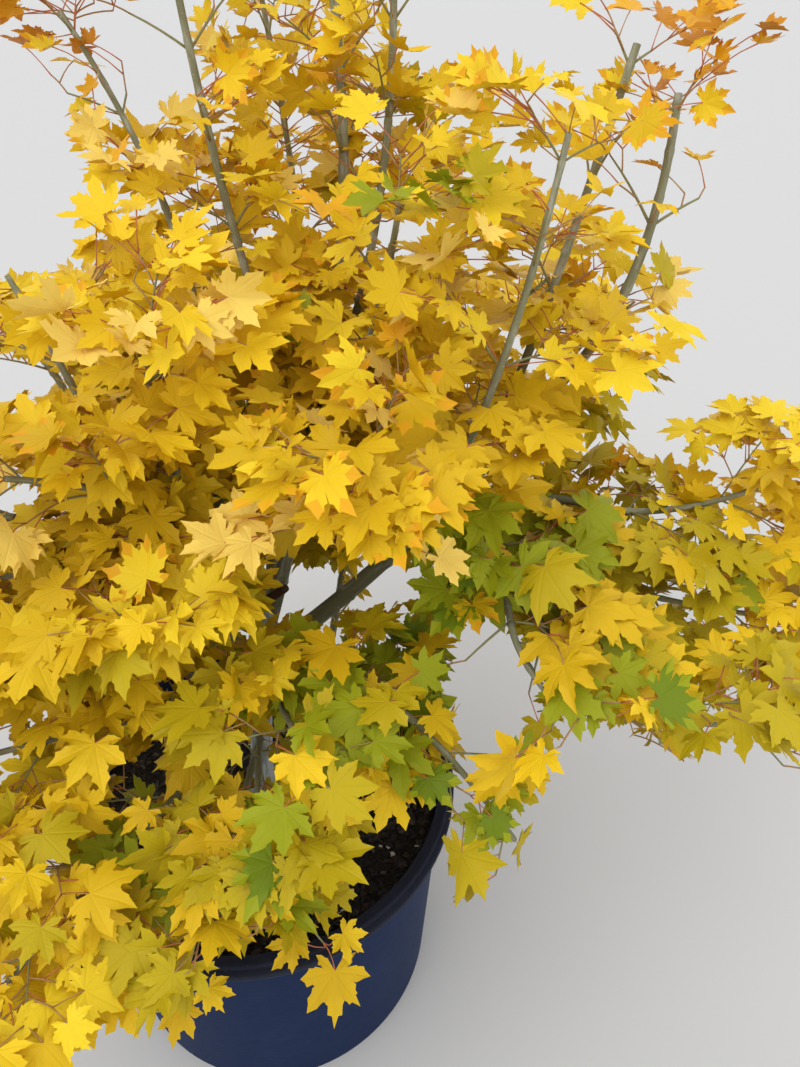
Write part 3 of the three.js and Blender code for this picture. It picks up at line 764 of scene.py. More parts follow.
def mulch_material():
    """Damp bark mulch: near black, with brown and grey crumbs in it, and a rough broken surface."""
    material, inputs, web = new_material("mulch", (0.010, 0.007, 0.005), 0.9, 0.25)
    place = web.place()
    clods = web.noise(place, 60, 6, 0.7)
    crumbs = web.noise(place, 320, 4, 0.65)
    color = web.blend(web.ramp(crumbs, 0.45, 0.7), (0.006, 0.0045, 0.0035), (0.045, 0.028, 0.018))
    color = web.blend(web.ramp(clods, 0.6, 0.75), color, (0.07, 0.055, 0.04))
    web.feed(inputs["Base Color"], color)
    web.feed(inputs["Normal"], web.bump(crumbs, 0.004))
    return material


def vein_group():
    """The relief of a leaf from its own map, whose origin is its heart: a groove along the nearest of its
    evenly turned main veins, and finer grooves that slant from it like the barbs of a feather."""
    group, web, _, end = build_group("veins", {}, {"Height": "Float"})
    math = web.math
    flat = web.add("UVMap", "UV", {}, uv_map="blade")
    x, y = (web.add("SeparateXYZ", axis, {"Vector": flat}) for axis in "XY")
    out = math("SQRT", math("ADD", math("MULTIPLY", x, x), math("MULTIPLY", y, y)))
    lobe = math("DIVIDE", math("ARCTAN2", y, x), float(LOBE_TURN))
    off = math("MULTIPLY", math("SUBTRACT", lobe, math("ROUND", lobe)), float(LOBE_TURN))
    aside = math("ABSOLUTE", math("MULTIPLY", out, math("SINE", off)))
    slant = math("SUBTRACT", out, math("MULTIPLY", aside, 1.1))
    barbs = math("MULTIPLY", math("SINE", math("MULTIPLY", slant, 58.0)), 0.10)
    web.feed(end["Height"], math("ADD", web.ramp(aside, 0.0, 0.040), barbs))
    return group


def leaf_material(name, color, veins):
    """A leaf of one plain tint, with its veins sunk in it."""
    material, inputs, web = new_material(name, color, 0.50, 0.18)
    relief = web.add("Group", "Height", {}, node_tree=veins)
    web.feed(inputs["Normal"], web.bump(relief, 0.0007, 0.5))
    return material


shared_veins = vein_group()
leaf_materials = [leaf_material(name, color, shared_veins) for name, (color, _) in LEAF_TINTS.items()]
stalk_red = new_material("stalk_red", (0.60, 0.19, 0.07), 0.5)[0]
stalk_pale = new_material("stalk_pale", (0.50, 0.30, 0.10), 0.5)[0]
twig_olive = grained_material("twig_olive", (0.27, 0.25, 0.10), 0.6, 700, 0.0005)
twig_brown = grained_material("twig_brown", (0.40, 0.22, 0.08), 0.6, 900, 0.0004)
cut_wood = grained_material("cut_wood", (0.55, 0.47, 0.34), 0.8, 1500, 0.0006)

# Barks: the bark, its bloom, its pores, the share that the bloom takes and the depth of the relief
BARKS = {
    "trunk_bark": ((0.26, 0.27, 0.24), (0.52, 0.57, 0.57), (0.34, 0.28, 0.20), 0.50, 0.0012),
    "bough_bark": ((0.16, 0.16, 0.085), (0.38, 0.40, 0.33), (0.34, 0.28, 0.18), 0.36, 0.0008),
    "shoot_bark": ((0.22, 0.22, 0.12), (0.42, 0.43, 0.33), (0.40, 0.32, 0.20), 0.40, 0.0005),
    "dead_wood": ((0.07, 0.035, 0.015), (0.16, 0.09, 0.045), (0.03, 0.015, 0.008), 0.2, 0.0012),
}
shared_bark = bark_group()
barks = {name: bark_material(name, shared_bark, *look) for name, look in BARKS.items()}


def add_camera():
    """The camera of the photograph: low beside the front of the crown, looking down on it."""
    data = bpy.data.cameras.new("camera")
    data.sensor_width = SENSOR
    data.lens = SENSOR * FOCAL / max(PHOTO)
    camera = bpy.data.objects.new("camera", data)
    camera.location = CAMERA_AT
    camera.rotation_euler = (np.pi / 2 - CAMERA_DOWN, 0, 0)
    bpy.context.scene.collection.objects.link(camera)
    bpy.context.scene.camera = camera


def add_stage():
    """A plain pale floor under a pale, even sky, and one broad soft light from high at the front."""
    corners = np.array([[-1, -1, 0], [1, -1, 0], [1, 1, 0], [-1, 1, 0]], float) * FLOOR_HALF
    material = new_material("floor", FLOOR_TINT, 0.9, 0.1)[0]
    floor = add_mesh("floor", corners, np.array([[0, 1, 2], [0, 2, 3]]), [material], smooth=False)
    world = bpy.data.worlds.new("sky")
    world.use_nodes = True
    sky = world.node_tree.nodes["Background"].inputs
    sky["Color"].default_value = (*SKY_TINT, 1)
    sky["Strength"].default_value = SKY_STRENGTH
    bpy.context.scene.world = world
    light = bpy.data.lights.new("soft_light", "SUN")
    light.angle = LIGHT_ANGLE
    light.energy = LIGHT_ENERGY
    lamp = bpy.data.objects.new("soft_light", light)
    lamp.rotation_euler = LIGHT_TURN
    bpy.context.scene.collection.objects.link(lamp)
    bpy.context.scene.view_settings.view_transform = "Standard"


# Pot: its measures, and for wall and lip a tint, dusty, scuffed and specked. The wall's navy is in part the
# plastic's own and in part a painted reflection of blue sky. The lip's lighter grey is a painted sheen on it.
LIP_RADIUS, _, POT_HEIGHT = np.array(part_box("pot")[1])
POT_BASE_RADIUS = 0.262
POT_AXIS_HOLE = 0.002
LIP_WIDTH = 0.024
LIP_DEPTH = 0.026
POT_WALL = 0.005
RIDGE_UP = 0.386
RIDGE = 0.004
POT_SIDES = 120
CORNER_RADIUS = 0.0035
CORNER_POINTS = 5
CORNER_SHARE = 0.45
POT_TINTS = {
    "pot_navy_with_painted_sky_sheen": ((0.0070, 0.019, 0.066), (0.011, 0.026, 0.076), (0.020, 0.038, 0.092), (0.05, 0.07, 0.11)),
    "pot_lip_painted_sheen": ((0.0180, 0.0205, 0.0340), (0.030, 0.034, 0.052), (0.050, 0.056, 0.078), (0.08, 0.085, 0.11)),
}


def softened(profile, radius):
    """A profile with each inner corner rounded: an arc from radius before it to radius after it."""
    points = np.array(profile, float)
    before, corner, after = points[:-2], points[1:-1], points[2:]
    room = np.minimum(np.linalg.norm(corner - before, axis=1), np.linalg.norm(after - corner, axis=1))
    reach = np.minimum(radius, room * CORNER_SHARE)[:, None]
    enter = corner + unit(before - corner) * reach
    leave = corner + unit(after - corner) * reach
    t = np.linspace(0, 1, CORNER_POINTS)[None, :, None]
    arcs = enter[:, None] * (1 - t) ** 2 + corner[:, None] * 2 * t * (1 - t) + leave[:, None] * t**2
    return np.vstack([points[:1], arcs.reshape(-1, 2), points[-1:]])


def spun(profile, sides):
    """Rings of corners: the profile's points (radius, height) turned round the upright axis."""
    angle = turns(sides)
    ring = np.stack([np.cos(angle), np.sin(angle), np.zeros(sides)], axis=1)
    return (profile[:, 0][:, None, None] * ring + profile[:, 1][:, None, None] * UP)[None]


def make_pot():
    """The pot as one profile turned round, its corners rounded.

    It runs from the axis out along the foot, up the wall over the ridge, out and up the lip, over the lip's
    shallow step and its top, and back down inside to the axis."""
    lip_foot = POT_HEIGHT - LIP_DEPTH
    lip_inside = LIP_RADIUS - LIP_WIDTH

    def wall(up):
        return mix(POT_BASE_RADIUS, lip_inside + POT_WALL, up / lip_foot)

    profile = [
        (POT_AXIS_HOLE, 0.004),
        (POT_BASE_RADIUS * 0.80, 0.004),
        (POT_BASE_RADIUS * 0.86, 0),
        (POT_BASE_RADIUS, 0),
        (wall(0.006) + 0.0005, 0.006),
        (wall(RIDGE_UP - 0.012), RIDGE_UP - 0.012),
        (wall(RIDGE_UP) + RIDGE, RIDGE_UP - 0.004),
        (wall(lip_foot) + RIDGE, lip_foot - 0.001),
        (LIP_RADIUS - RIDGE / 2, lip_foot),
        (LIP_RADIUS, lip_foot + RIDGE),
        (LIP_RADIUS, POT_HEIGHT - 0.012),
        (LIP_RADIUS - 0.0050, POT_HEIGHT - 0.0095),
        (LIP_RADIUS - 0.0072, POT_HEIGHT - 0.0088),
        (LIP_RADIUS - 0.0066, POT_HEIGHT - 0.0020),
        (LIP_RADIUS - 0.0095, POT_HEIGHT),
        (lip_inside + 0.004, POT_HEIGHT - 0.0012),
        (lip_inside, POT_HEIGHT - 0.004),
        (lip_inside - 0.001, POT_HEIGHT - 0.013),
        (wall(0.39) - POT_WALL, 0.39),
        (POT_BASE_RADIUS - POT_WALL, POT_WALL + 0.001),
        (POT_AXIS_HOLE, POT_WALL + 0.001),
    ]
    corners, faces = bars(spun(softened(profile, CORNER_RADIUS), POT_SIDES))
    middles = corners[faces].mean(1)
    outward = np.hypot(middles[:, 0], middles[:, 1])
    # The lip's faces take the lighter lip tint, a painted sheen.
    lip_with_painted_sheen = (middles[:, 2] > lip_foot) & (outward > lip_inside - 0.002)
    plastic = [pot_material(name, *tints) for name, tints in POT_TINTS.items()]
    part(add_mesh("pot_shell", corners, faces, plastic, which=lip_with_painted_sheen), "pot")


# Mulch: its levels, its fields of hills, each with its waves to the metre and its height, and how it sinks
# outwards from the trunk
MULCH_FOOT, MULCH_TOP = (corner[2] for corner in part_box("soil"))
MULCH_CLEAR = 0.006
MULCH_CENTRE = 0.004
MULCH_FOOT_CLEAR = 0.008
MULCH_SEED = 7
MULCH_HILLS = ((40, 0.0016), (160, 0.0010))
HILL_WAVES = 24
HILL_PLAY = (0.6, 1.8)
MULCH_UNDER = 0.0035
MULCH_SINK = 0.006
MULCH_LEVEL = (0.05, 0.2)
MULCH_SIDES = 160
MULCH_RINGS = 90

# Chips of bark: how many, how far out, half sizes, and each tint with its share, its colour and its roughness
CHIPS = 2600
CHIP_SEED = 11
CHIPS_OUT = 0.268
CHIPS_IN = 0.02
CHIP_SIZES = ((0.004, 0.013), (0.002, 0.006), (0.001, 0.0025))
CHIP_PUSH = 0.25
CHIP_LEAN = 0.35
CHIP_TOP = 0.7
CHIP_GRAIN = 500
CHIP_RELIEF = 0.001
CHIP_LIFT = 0.001
CHIP_TINTS = {
    "chip_black": (0.60, (0.009, 0.007, 0.006), 0.8),
    "chip_brown": (0.28, (0.032, 0.020, 0.013), 0.8),
    "chip_grey": (0.09, (0.075, 0.060, 0.048), 0.85),
    "chip_pale": (0.03, (0.50, 0.48, 0.42), 0.85),
}


def hills(x, y, draw, waves, scale):
    """A rolling field: the sum of many sine waves in drawn directions, over the root of their number."""
    way = draw.uniform(0, 2 * np.pi, HILL_WAVES)
    phase = draw.uniform(0, 2 * np.pi, HILL_WAVES)
    size = draw.uniform(*HILL_PLAY, HILL_WAVES) * waves
    flat = x[..., None] * np.cos(way) + y[..., None] * np.sin(way)
    return scale * np.sin(flat * size + phase).sum(-1) / np.sqrt(HILL_WAVES)


def mulch_height(x, y):
    """The level of the mulch: round the trunk it lies at the solid's top, and it sinks and rolls outwards."""
    draw = np.random.default_rng(MULCH_SEED)
    share = share_past(np.hypot(x, y), *MULCH_LEVEL)
    rolling = sum(hills(x, y, draw, waves, height) for waves, height in MULCH_HILLS)
    return MULCH_TOP - MULCH_UNDER - MULCH_SINK * share**2 + rolling


def make_mulch():
    """The plug of mulch: a disc of rings with a rolling height, closed by its side and foot."""
    out = (LIP_RADIUS - LIP_WIDTH - MULCH_CLEAR) * np.linspace(1, MULCH_CENTRE, MULCH_RINGS)
    angle = turns(MULCH_SIDES)
    x, y = out[:, None] * np.cos(angle), out[:, None] * np.sin(angle)
    top = np.stack([x, y, mulch_height(x, y)], axis=-1)
    under = [(POT_AXIS_HOLE, MULCH_FOOT), (POT_BASE_RADIUS - MULCH_FOOT_CLEAR, MULCH_FOOT)]
    foot = spun(np.array(under), MULCH_SIDES)[0]
    mulch = add_mesh("mulch_bed", *bars(np.concatenate([foot, top])[None]), [mulch_material()])
    part(mulch, "soil")


def make_chips():
    """Loose bark chips on the mulch: each a block whose eight corners are pushed about, lying as it fell."""
    draw = np.random.default_rng(CHIP_SEED)
    out = CHIPS_OUT * np.sqrt(draw.uniform(CHIPS_IN, 1, CHIPS))
    way = draw.uniform(0, 2 * np.pi, CHIPS)
    x, y = out * np.cos(way), out * np.sin(way)
    size = np.stack([draw.uniform(*span, CHIPS) for span in CHIP_SIZES], axis=1)
    angle = np.pi / 4 + np.arange(4) * np.pi / 2
    ring = np.stack([np.cos(angle), np.sin(angle)], axis=1)
    level = np.repeat([[-0.5], [0.5]], 4, axis=0)
    block = np.concatenate([np.vstack([ring, ring * CHIP_TOP]), level], axis=1)
    corners = (block + draw.uniform(-CHIP_PUSH, CHIP_PUSH, (CHIPS, 8, 3))) * size[:, None]
    turn, lean = draw.uniform(0, 2 * np.pi, CHIPS), draw.normal(0, CHIP_LEAN, (2, CHIPS))
    along = unit(np.stack([np.cos(turn), np.sin(turn), lean[0]], axis=1))
    upward = np.stack([np.zeros(CHIPS), lean[1], np.ones(CHIPS)], axis=1)
    across = unit(np.cross(upward, along))
    axes = np.stack([along, across, np.cross(along, across)], axis=1)
    corners = np.einsum("nki,nij->nkj", corners, axes)
    corners += np.stack([x, y, mulch_height(x, y) + CHIP_LIFT], axis=1)[:, None]
    corners, faces = bars(corners.reshape(CHIPS, 2, 4, 3))
    tint = draw.choice(len(CHIP_TINTS), CHIPS, p=[share for share, _, _ in CHIP_TINTS.values()])
    looks = [(name, *look[1:]) for name, look in CHIP_TINTS.items()]
    materials = [grained_material(*look, CHIP_GRAIN, CHIP_RELIEF) for look in looks]
    which = np.repeat(tint, len(faces) // CHIPS)
    part(add_mesh("mulch_chips", corners, faces, materials, which=which, smooth=False), "soil")


# Limbs: for each kind its sides, the length of a ring, the depth of its dents, the distance of its old nodes
# and how far they swell
LEAST_RINGS = 6
SWELL_LENGTH = 0.0035
DENT_WAVES = 6
DENT_SLOPE = 30
TRUNK_SHAPE = (40, 0.004, 0.022, 0.075, 0.05)
SECOND_STEM_SHAPE = (20, 0.004, 0.02, 0.06, 0.12)
STUB_SHAPE = (16, 0.003, 0.07, 0.05, 0.1)
BOUGH_SHAPE = (16, 0.005, 0.02, 0.07, 0.14)
SHOOT_SHAPE = (12, 0.006, 0.015, NODE_SPACING / 2, 0.22)


def limb_rings(path, radii, shape, draw, flare=False):
    """One limb as rings of corners and their straightened places.

    The radius tapers, swells in a ring at each old node, and is dented by long waves along the limb."""
    sides, step, depth, node_every, node_size = shape
    t = np.linspace(0, 1, max(LEAST_RINGS, int(path.length / step)) + 1)
    normals = path.normals(t)
    tangents = path.toward(t)
    across = unit(normals - tangents * (normals * tangents).sum(-1, keepdims=True))
    side = np.cross(tangents, across)
    angle = turns(sides)
    run = (t * path.length)[:, None]
    radius = mix(radii[0], radii[1], t)[:, None] * np.ones(sides)
    from_node = run / node_every - np.round(run / node_every)
    radius = radius * (1 + node_size * np.exp(-((from_node * node_every / SWELL_LENGTH) ** 2)))
    if flare:
        ridges = 1 + FLARE_RIDGE_SHARE * np.cos(FLARE_RIDGES * angle + FLARE_TURN)
        radius = radius + FLARE * np.exp(-run / FLARE_HEIGHT) * ridges
    waves = np.arange(1, DENT_WAVES + 1)
    phase = draw.uniform(0, 2 * np.pi, DENT_WAVES)
    slope = draw.uniform(-DENT_SLOPE, DENT_SLOPE, DENT_WAVES)
    dents = np.sin(waves * angle[None, :, None] + run[..., None] * slope + phase) / waves
    radius = radius * (1 + depth * dents.sum(-1))
    rings = path.at(t)[:, None] + ring_round(across, side, angle) * radius[..., None]
    lay = np.stack([radius * np.cos(angle), radius * np.sin(angle), run * np.ones(sides)], axis=-1)
    return rings[None], lay[None]


def add_limb(name, made_name, bark, shape, flare=False):
    """A limb's piece, in place of its solid."""
    draw = np.random.default_rng(sum(map(ord, name)))
    rings, lay = limb_rings(*limbs[name], shape, draw, flare)
    part(add_mesh(made_name, *bars(rings), [barks[bark]], lay=bars(lay)[0]), name)


def make_limbs():
    """The trunk, the second stem, the dead stub and each bough."""
    add_limb("trunk", "trunk_stem", "trunk_bark", TRUNK_SHAPE, flare=True)
    add_limb("second_stem", "green_stem", "bough_bark", SECOND_STEM_SHAPE)
    add_limb("dead_stub", "dead_snag", "dead_wood", STUB_SHAPE)
    for name in BOUGHS:
        if name != "second_stem":
            add_limb(name, name + "_bark", "bough_bark", BOUGH_SHAPE)


def leaf_blade():
    """A leaf blade in its own plane, root at its heart, middle lobe along x.

    Lobe j points j turns aside and is shorter by the square of j. Its rim runs from the notch by two teeth to
    its tip and back, and each two neighbours on it make a triangle with the end of the lobe's vein. Returns
    the corners, the triangles, how far each corner is off its vein, which triangles are at the lobes' ends
    and which corners are notches."""
    rim = np.array(LOBE_RIM)
    half = np.concatenate([rim * (1, -1), rim[-2::-1]])
    each = len(half)
    j = np.arange(LOBES) - LOBES // 2
    length = 1 - LOBE_LOSS * j**2
    way = np.stack([np.cos(j * LOBE_TURN), np.sin(j * LOBE_TURN)], axis=1)
    side = np.stack([-way[:, 1], way[:, 0]], axis=1)
    spots = half[None, :, :1] * way[:, None] + half[None, :, 1:] * side[:, None]
    spots = spots * length[:, None, None]
    vein = VEIN_END * length[:, None] * way
    mid = (np.arange(LOBES + 1) - LOBES / 2) * LOBE_TURN
    depth = np.full(LOBES + 1, NOTCH)
    depth[1:-1] *= (length[1:] + length[:-1]) / 2
    depth[[0, -1]] = BASE_NOTCH
    notch = depth[:, None] * np.stack([np.cos(mid), np.sin(mid)], axis=1)
    flat = np.vstack([[[0, 0]], vein, notch, spots.reshape(-1, 2)])
    off_vein = [np.zeros(1 + LOBES), np.ones(LOBES + 1), np.tile(np.abs(half[:, 1]) * OFF_VEIN, LOBES)]
    first_notch, first_rim = 1 + LOBES, 2 * LOBES + 2
    faces, ends = [], []
    for lobe in range(LOBES):
        start = first_rim + lobe * each
        loop = [0, first_notch + lobe, *range(start, start + each), first_notch + lobe + 1, 0]
        faces.extend((a, b, 1 + lobe) for a, b in zip(loop[:-1], loop[1:]))
        ends.extend(abs(k - len(loop) / 2 + 1) < 2 for k in range(len(loop) - 1))
    number = np.arange(len(flat))
    notches = (number > LOBES) & (number < first_rim)
    return flat, np.array(faces), np.concatenate(off_vein), np.array(ends), notches


def blades(root, along, facing, roll, size, draw):
    """Corners of many leaves, each with its own outline: its notches are drawn in or out and its lobes longer
    or shorter by waves round its heart.

    Each is folded up about its main vein, domed between its veins, drooped low down or cupped high up, raised
    or lowered at its sides, twisted and waved by drawn amounts, then set at its root with its length along
    its direction and its face turned up."""
    flat, faces, off, ends, notches = leaf_blade()
    count = len(root)
    high = share_past(root[:, 2], *UPRIGHTS)[:, None]

    def drawn(low, top):
        return draw.uniform(low, top, count)[:, None]

    def varied(deviation):
        return draw.normal(0, deviation, count)[:, None]

    on_rim = np.arange(len(flat)) > 2 * LOBES + 1
    angle = np.arctan2(flat[:, 1], flat[:, 0])
    shallow = drawn(-NOTCH_PLAY, NOTCH_PLAY) + NOTCH_HIGH * high
    waves = [size * np.sin(number * angle + drawn(0, PHASE)) for number, size in LOBE_PLAY]
    stretch = (1 + waves[0] + waves[1]) * (1 + notches * shallow)
    x = flat[:, 0] * stretch + on_rim * draw.normal(0, RAGGED, stretch.shape)
    y = flat[:, 1] * stretch + on_rim * draw.normal(0, RAGGED, stretch.shape)
    out = np.hypot(x, y)
    fold = np.abs(varied(1) * mix(*FOLD, high))
    z = drawn(0, DOMED) * off * np.minimum(out * 2, 1) + fold * np.abs(y)
    y = y * (1 - FOLD_NARROWS * fold)
    z = z - mix(drawn(*DROOP[0]), drawn(*DROOP[1]), high) * out**2
    z = z + varied(SIDE_CURL) * y**2
    z = z + varied(TWIST) * x * y
    z = z + (RIPPLE[0] + RIPPLE[1] * high) * out * np.sin(3 * angle + drawn(0, PHASE))
    z = z + LOBE_RIPPLE * out * np.sin(7 * angle + drawn(0, PHASE))
    local = np.stack([x, y * drawn(*WIDTH_PLAY), z], axis=-1) * size[:, None, None]
    across = unit(np.cross(facing, along))
    face = np.cross(along, across)
    c, s = np.cos(roll)[:, None], np.sin(roll)[:, None]
    axes = np.stack([along, across * c + face * s, face * c - across * s], axis=1)
    return np.einsum("nki,nij->nkj", local, axes) + root[:, None], faces, ends, flat


def node_count(path):
    """The number of nodes on a stem."""
    return max(LEAST_NODES, round(path.length / NODE_SPACING))


def branch_mass(name):
    """The source's rule for one mass: for each twig its root, direction, reach and radius.

    The draws for the solid leaves are made and left, so that the next ones stay in step with the source."""
    path, radii = stems[name]
    spread, seed = MASSES[name][2:4]
    draw = Draws(seed)
    nodes = node_count(path)
    normals = path.normals(np.arange(nodes + 1) / nodes)
    twigs = []
    for k in range(nodes):
        t = mix(FIRST_NODE, LAST_NODE, k / (nodes - 1))
        root, along = path.at(t)[0], path.toward(t)[0]
        turn = k * np.pi / 2 + draw.between(-TURN_PLAY, TURN_PLAY)
        for facing in (0, np.pi):
            out = turned_about(normals[k], along, turn + facing)
            out = unit(out + along * draw.between(*TWIG_LEAN))
            out = unit(out + UP * TWIG_LIFT)
            fullness = mix(TWIG_LEAST, 1, np.sin(np.pi * t))
            reach = spread * fullness * draw.between(*TWIG_PLAY)
            for skipped in ((-ROLL_PLAY, ROLL_PLAY),) * 3 + (SCALE_PLAY,):
                draw.between(*skipped)
            twigs.append((root, out, reach, SLIM * TWIG_SHARE * mix(*radii, t)))
    root, out, reach, radius = (np.array(column) for column in zip(*twigs))
    return {"root": root, "out": out, "reach": reach, "radius": radius}


def joined(rows):
    """One dictionary of arrays from several."""
    return {key: np.concatenate([row[key] for row in rows]) for key in rows[0]}


def on_twig(twigs, share):
    """Points on twigs at shares (n,) or (n, m) of their reach: straight out, and sagging by its square."""
    share = np.asarray(share, float)
    if share.ndim == 1:
        share = share[:, None]
    reach = twigs["reach"][:, None] * share
    drop = SAG * twigs["reach"][:, None] * share**2
    return twigs["root"][:, None] + twigs["out"][:, None] * reach[..., None] - UP * drop[..., None]


def fine_twigs(twigs, draw):
    """Finer twigs on twigs: a pair aside at each of two places, shorter towards the tip."""
    rows = []
    wing = unit(np.cross(UP, twigs["out"]))
    count = len(twigs["root"])
    for share, length in FINE_AT:
        for side in (-1, 1):
            at = share + draw.uniform(-FINE_MOVED, FINE_MOVED, count)
            out = twigs["out"] + wing * side * draw.uniform(*FINE_SPLAY, count)[:, None]
            out = unit(out + draw.normal(0, FINE_WANDER, (count, 3)) + UP * FINE_LIFT)
            reach = length * np.maximum(twigs["reach"], FINE_FROM_REACH) * draw.uniform(*FINE_PLAY, count)
            radius = twigs["radius"] * mix(*FINE_RADIUS, share)
            row = {"root": on_twig(twigs, at)[:, 0], "out": out, "reach": reach, "radius": radius}
            rows.append({**row, "spray": twigs["spray"], "from": at})
    return joined(rows)


def leaf_pairs(twigs, first, shares, draw, splay):
    """Leaves in opposite pairs at shares of each twig: their roots, the way their stalks set out, their spray
    and the number of the twig that carries them, counted from first."""
    rows = []
    wing = unit(np.cross(UP, twigs["out"]))
    count = len(twigs["root"])
    for share in shares:
        at = np.clip(share + draw.uniform(-PAIR_MOVED, PAIR_MOVED, count), 0, 1)
        for side in (-1, 1):
            out = twigs["out"] + wing * side * draw.uniform(*splay, count)[:, None]
            out = out + draw.normal(0, PAIR_WANDER, (count, 3))
            out = out + UP * draw.uniform(0, PAIR_RISE, count)[:, None]
            row = {"root": on_twig(twigs, at)[:, 0], "out": unit(out), "spray": twigs["spray"]}
            rows.append({**row, "twig": first + np.arange(count), "at": at})
    return joined(rows)


def stem_pairs(path, draw, first_spray):
    """Leaves in pairs on the stem itself, at each of the rule's nodes and halfway between, each pair turned a
    quarter round from the last and leaning on along the stem."""
    nodes = node_count(path)
    k = np.arange(0.5, nodes + 0.25, 0.5)
    t = np.minimum(mix(FIRST_NODE, LAST_NODE, k / (nodes - 1)), STEM_PAIR_LAST)
    t, k = np.repeat(t, 2), np.repeat(k, 2)
    turn = k * np.pi + np.tile([0, np.pi], len(k) // 2) + draw.normal(0, STEM_PAIR_WANDER, len(k))
    out, along = path.around(t, turn)
    out = unit(out + along * draw.uniform(*STEM_PAIR_LEAN, len(k))[:, None])
    spray = first_spray + np.minimum(k.astype(int), nodes - 1) * 2
    return {"root": path.at(t), "out": out, "spray": spray, "twig": np.full(len(k), -1), "at": t}


def spur_twigs(name, draw):
    """Short leafy spurs on the outer part of the limb that a mass grows on, in pairs that turn along it."""
    limb, _, spread = MASSES[name][:3]
    if limb == "trunk":
        return None
    path, radii = limbs[limb]
    first = SPURS_FROM.get(limb, SPURS_FROM_ELSE)
    pairs = max(2, round(path.length * (1 - first) / SPUR_SPACING))
    t = np.repeat(np.linspace(first, SPUR_LAST, pairs), 2)
    turn = np.repeat(np.arange(pairs), 2) * SPUR_TURN + np.tile([0, np.pi], pairs)
    out, along = path.around(t, turn + draw.normal(0, SPUR_WANDER, 2 * pairs))
    out = unit(out + along * draw.uniform(*SPUR_LEAN, len(t))[:, None] + UP * SPUR_LIFT)
    reach = spread * draw.uniform(*SPUR_REACH, len(t))
    return {"root": path.at(t), "out": out, "reach": reach, "radius": SPUR_RADIUS * mix(*radii, t)}


def grow():
    """Every twig and leaf place of the crown, by mass."""
    grown = {}
    first_spray = 0
    for name, row in MASSES.items():
        draw = np.random.default_rng(row[3])
        twigs = branch_mass(name)
        spurs = spur_twigs(name, draw)
        if spurs:
            twigs = joined([twigs, spurs])
        count = len(twigs["root"])
        twigs["spray"] = first_spray + np.arange(count)
        twigs["from"] = np.zeros(count)
        finer = fine_twigs(twigs, draw)
        leaves = joined(
            [
                stem_pairs(stems[name][0], draw, first_spray),
                leaf_pairs(twigs, 0, TWIG_PAIRS, draw, PAIR_SPLAY),
                leaf_pairs(finer, count, FINE_TIP, draw, TIP_SPLAY),
                leaf_pairs(finer, count, FINE_PAIR, draw, PAIR_SPLAY),
            ]
        )
        first_spray += count
        grown[name] = {"twigs": joined([twigs, finer]), "main": count, "leaves": leaves, "draw": draw}
    return grown


def in_photo(points):
    """Where points fall in the photograph, in pixels, and how far ahead of the camera they are."""
    away = points - np.array(CAMERA_AT)
    c, s = np.cos(CAMERA_DOWN), np.sin(CAMERA_DOWN)
    depth = np.maximum(away @ np.array([0, c, -s]), NEAREST)
    across = PHOTO[0] / 2 + FOCAL * away[..., 0] / depth
    down = PHOTO[1] / 2 - FOCAL * (away @ np.array([0, s, c])) / depth
    return np.stack([across, down], axis=-1), depth


def in_opening(seen):
    """Whether each place in the photograph is in one of its openings."""
    found = np.zeros(seen.shape[:-1], bool)
    for across, down, half_wide, half_high in OPENINGS.values():
        off = (seen - (across, down)) / (half_wide, half_high)
        found |= (off**2).sum(-1) < 1
    return found


def nearest(points, others):
    """How far each point is from the nearest of the others."""
    return np.linalg.norm(points[:, None] - others[None], axis=-1).min(1)


shown_at, shown_depth = in_photo(
    np.vstack([stems[name][0].at(np.linspace(first, 1, SHOWN_PROBES)) for name, first in SHOWN.items()])
)
cut_at, cut_depth = in_photo(np.array([MASSES[name][1] for name in PRUNED]))
limb_probes = np.vstack([path.at(np.linspace(0, 1, LIMB_PROBES)) for path, _ in limbs.values()])


def hung_blades(leaves, draw):
    """Each leaf's size, heart, length direction, face and roll.

    A blade hangs on from its stalk, more level than the twig and drooping, less so high up."""
    count = len(leaves["root"])
    high = share_past(leaves["root"][:, 2], *UPRIGHTS)
    stalk = mix(*STALK_LENGTH, high) * draw.uniform(*STALK_PLAY, count)
    size = mix(*LEAF_SIZE, high) * draw.uniform(*SIZE_PLAY, count)
    flat = leaves["out"].copy()
    flat[:, 2] = flat[:, 2] * LEVEL - mix(draw.uniform(*HANG[0], count), draw.uniform(*HANG[1], count), high)
    facing = mix(np.array(FACING[0]), np.array(FACING[1]), high[:, None])
    facing = unit(facing + draw.normal(0, FACING_PLAY, (count, 3)))
    along = unit(flat - facing * ((flat * facing).sum(1) * mix(*SQUARED, high))[:, None])
    heart = leaves["root"] + unit(leaves["out"] + along * STALK_FOLLOW) * stalk[:, None]
    roll = draw.normal(0, ROLL, count)
    return {**leaves, "heart": heart, "along": along, "facing": facing, "roll": roll, "size": size}


def spaced(middles, keep, taken):
    """Leaves out each kept leaf whose middle is too near to one already there, and notes those that stay.

    taken holds the middles by the cells that they are in, each as wide as the gap between leaves."""
    for index in np.flatnonzero(keep):
        middle = middles[index]
        cell = middle // LEAF_GAP
        near = (other for step in AROUND for other in taken.get(tuple(cell + step), ()))
        if any(np.dot(middle - other, middle - other) < LEAF_GAP**2 for other in near):
            keep[index] = False
        else:
            taken.setdefault(tuple(cell), []).append(middle)


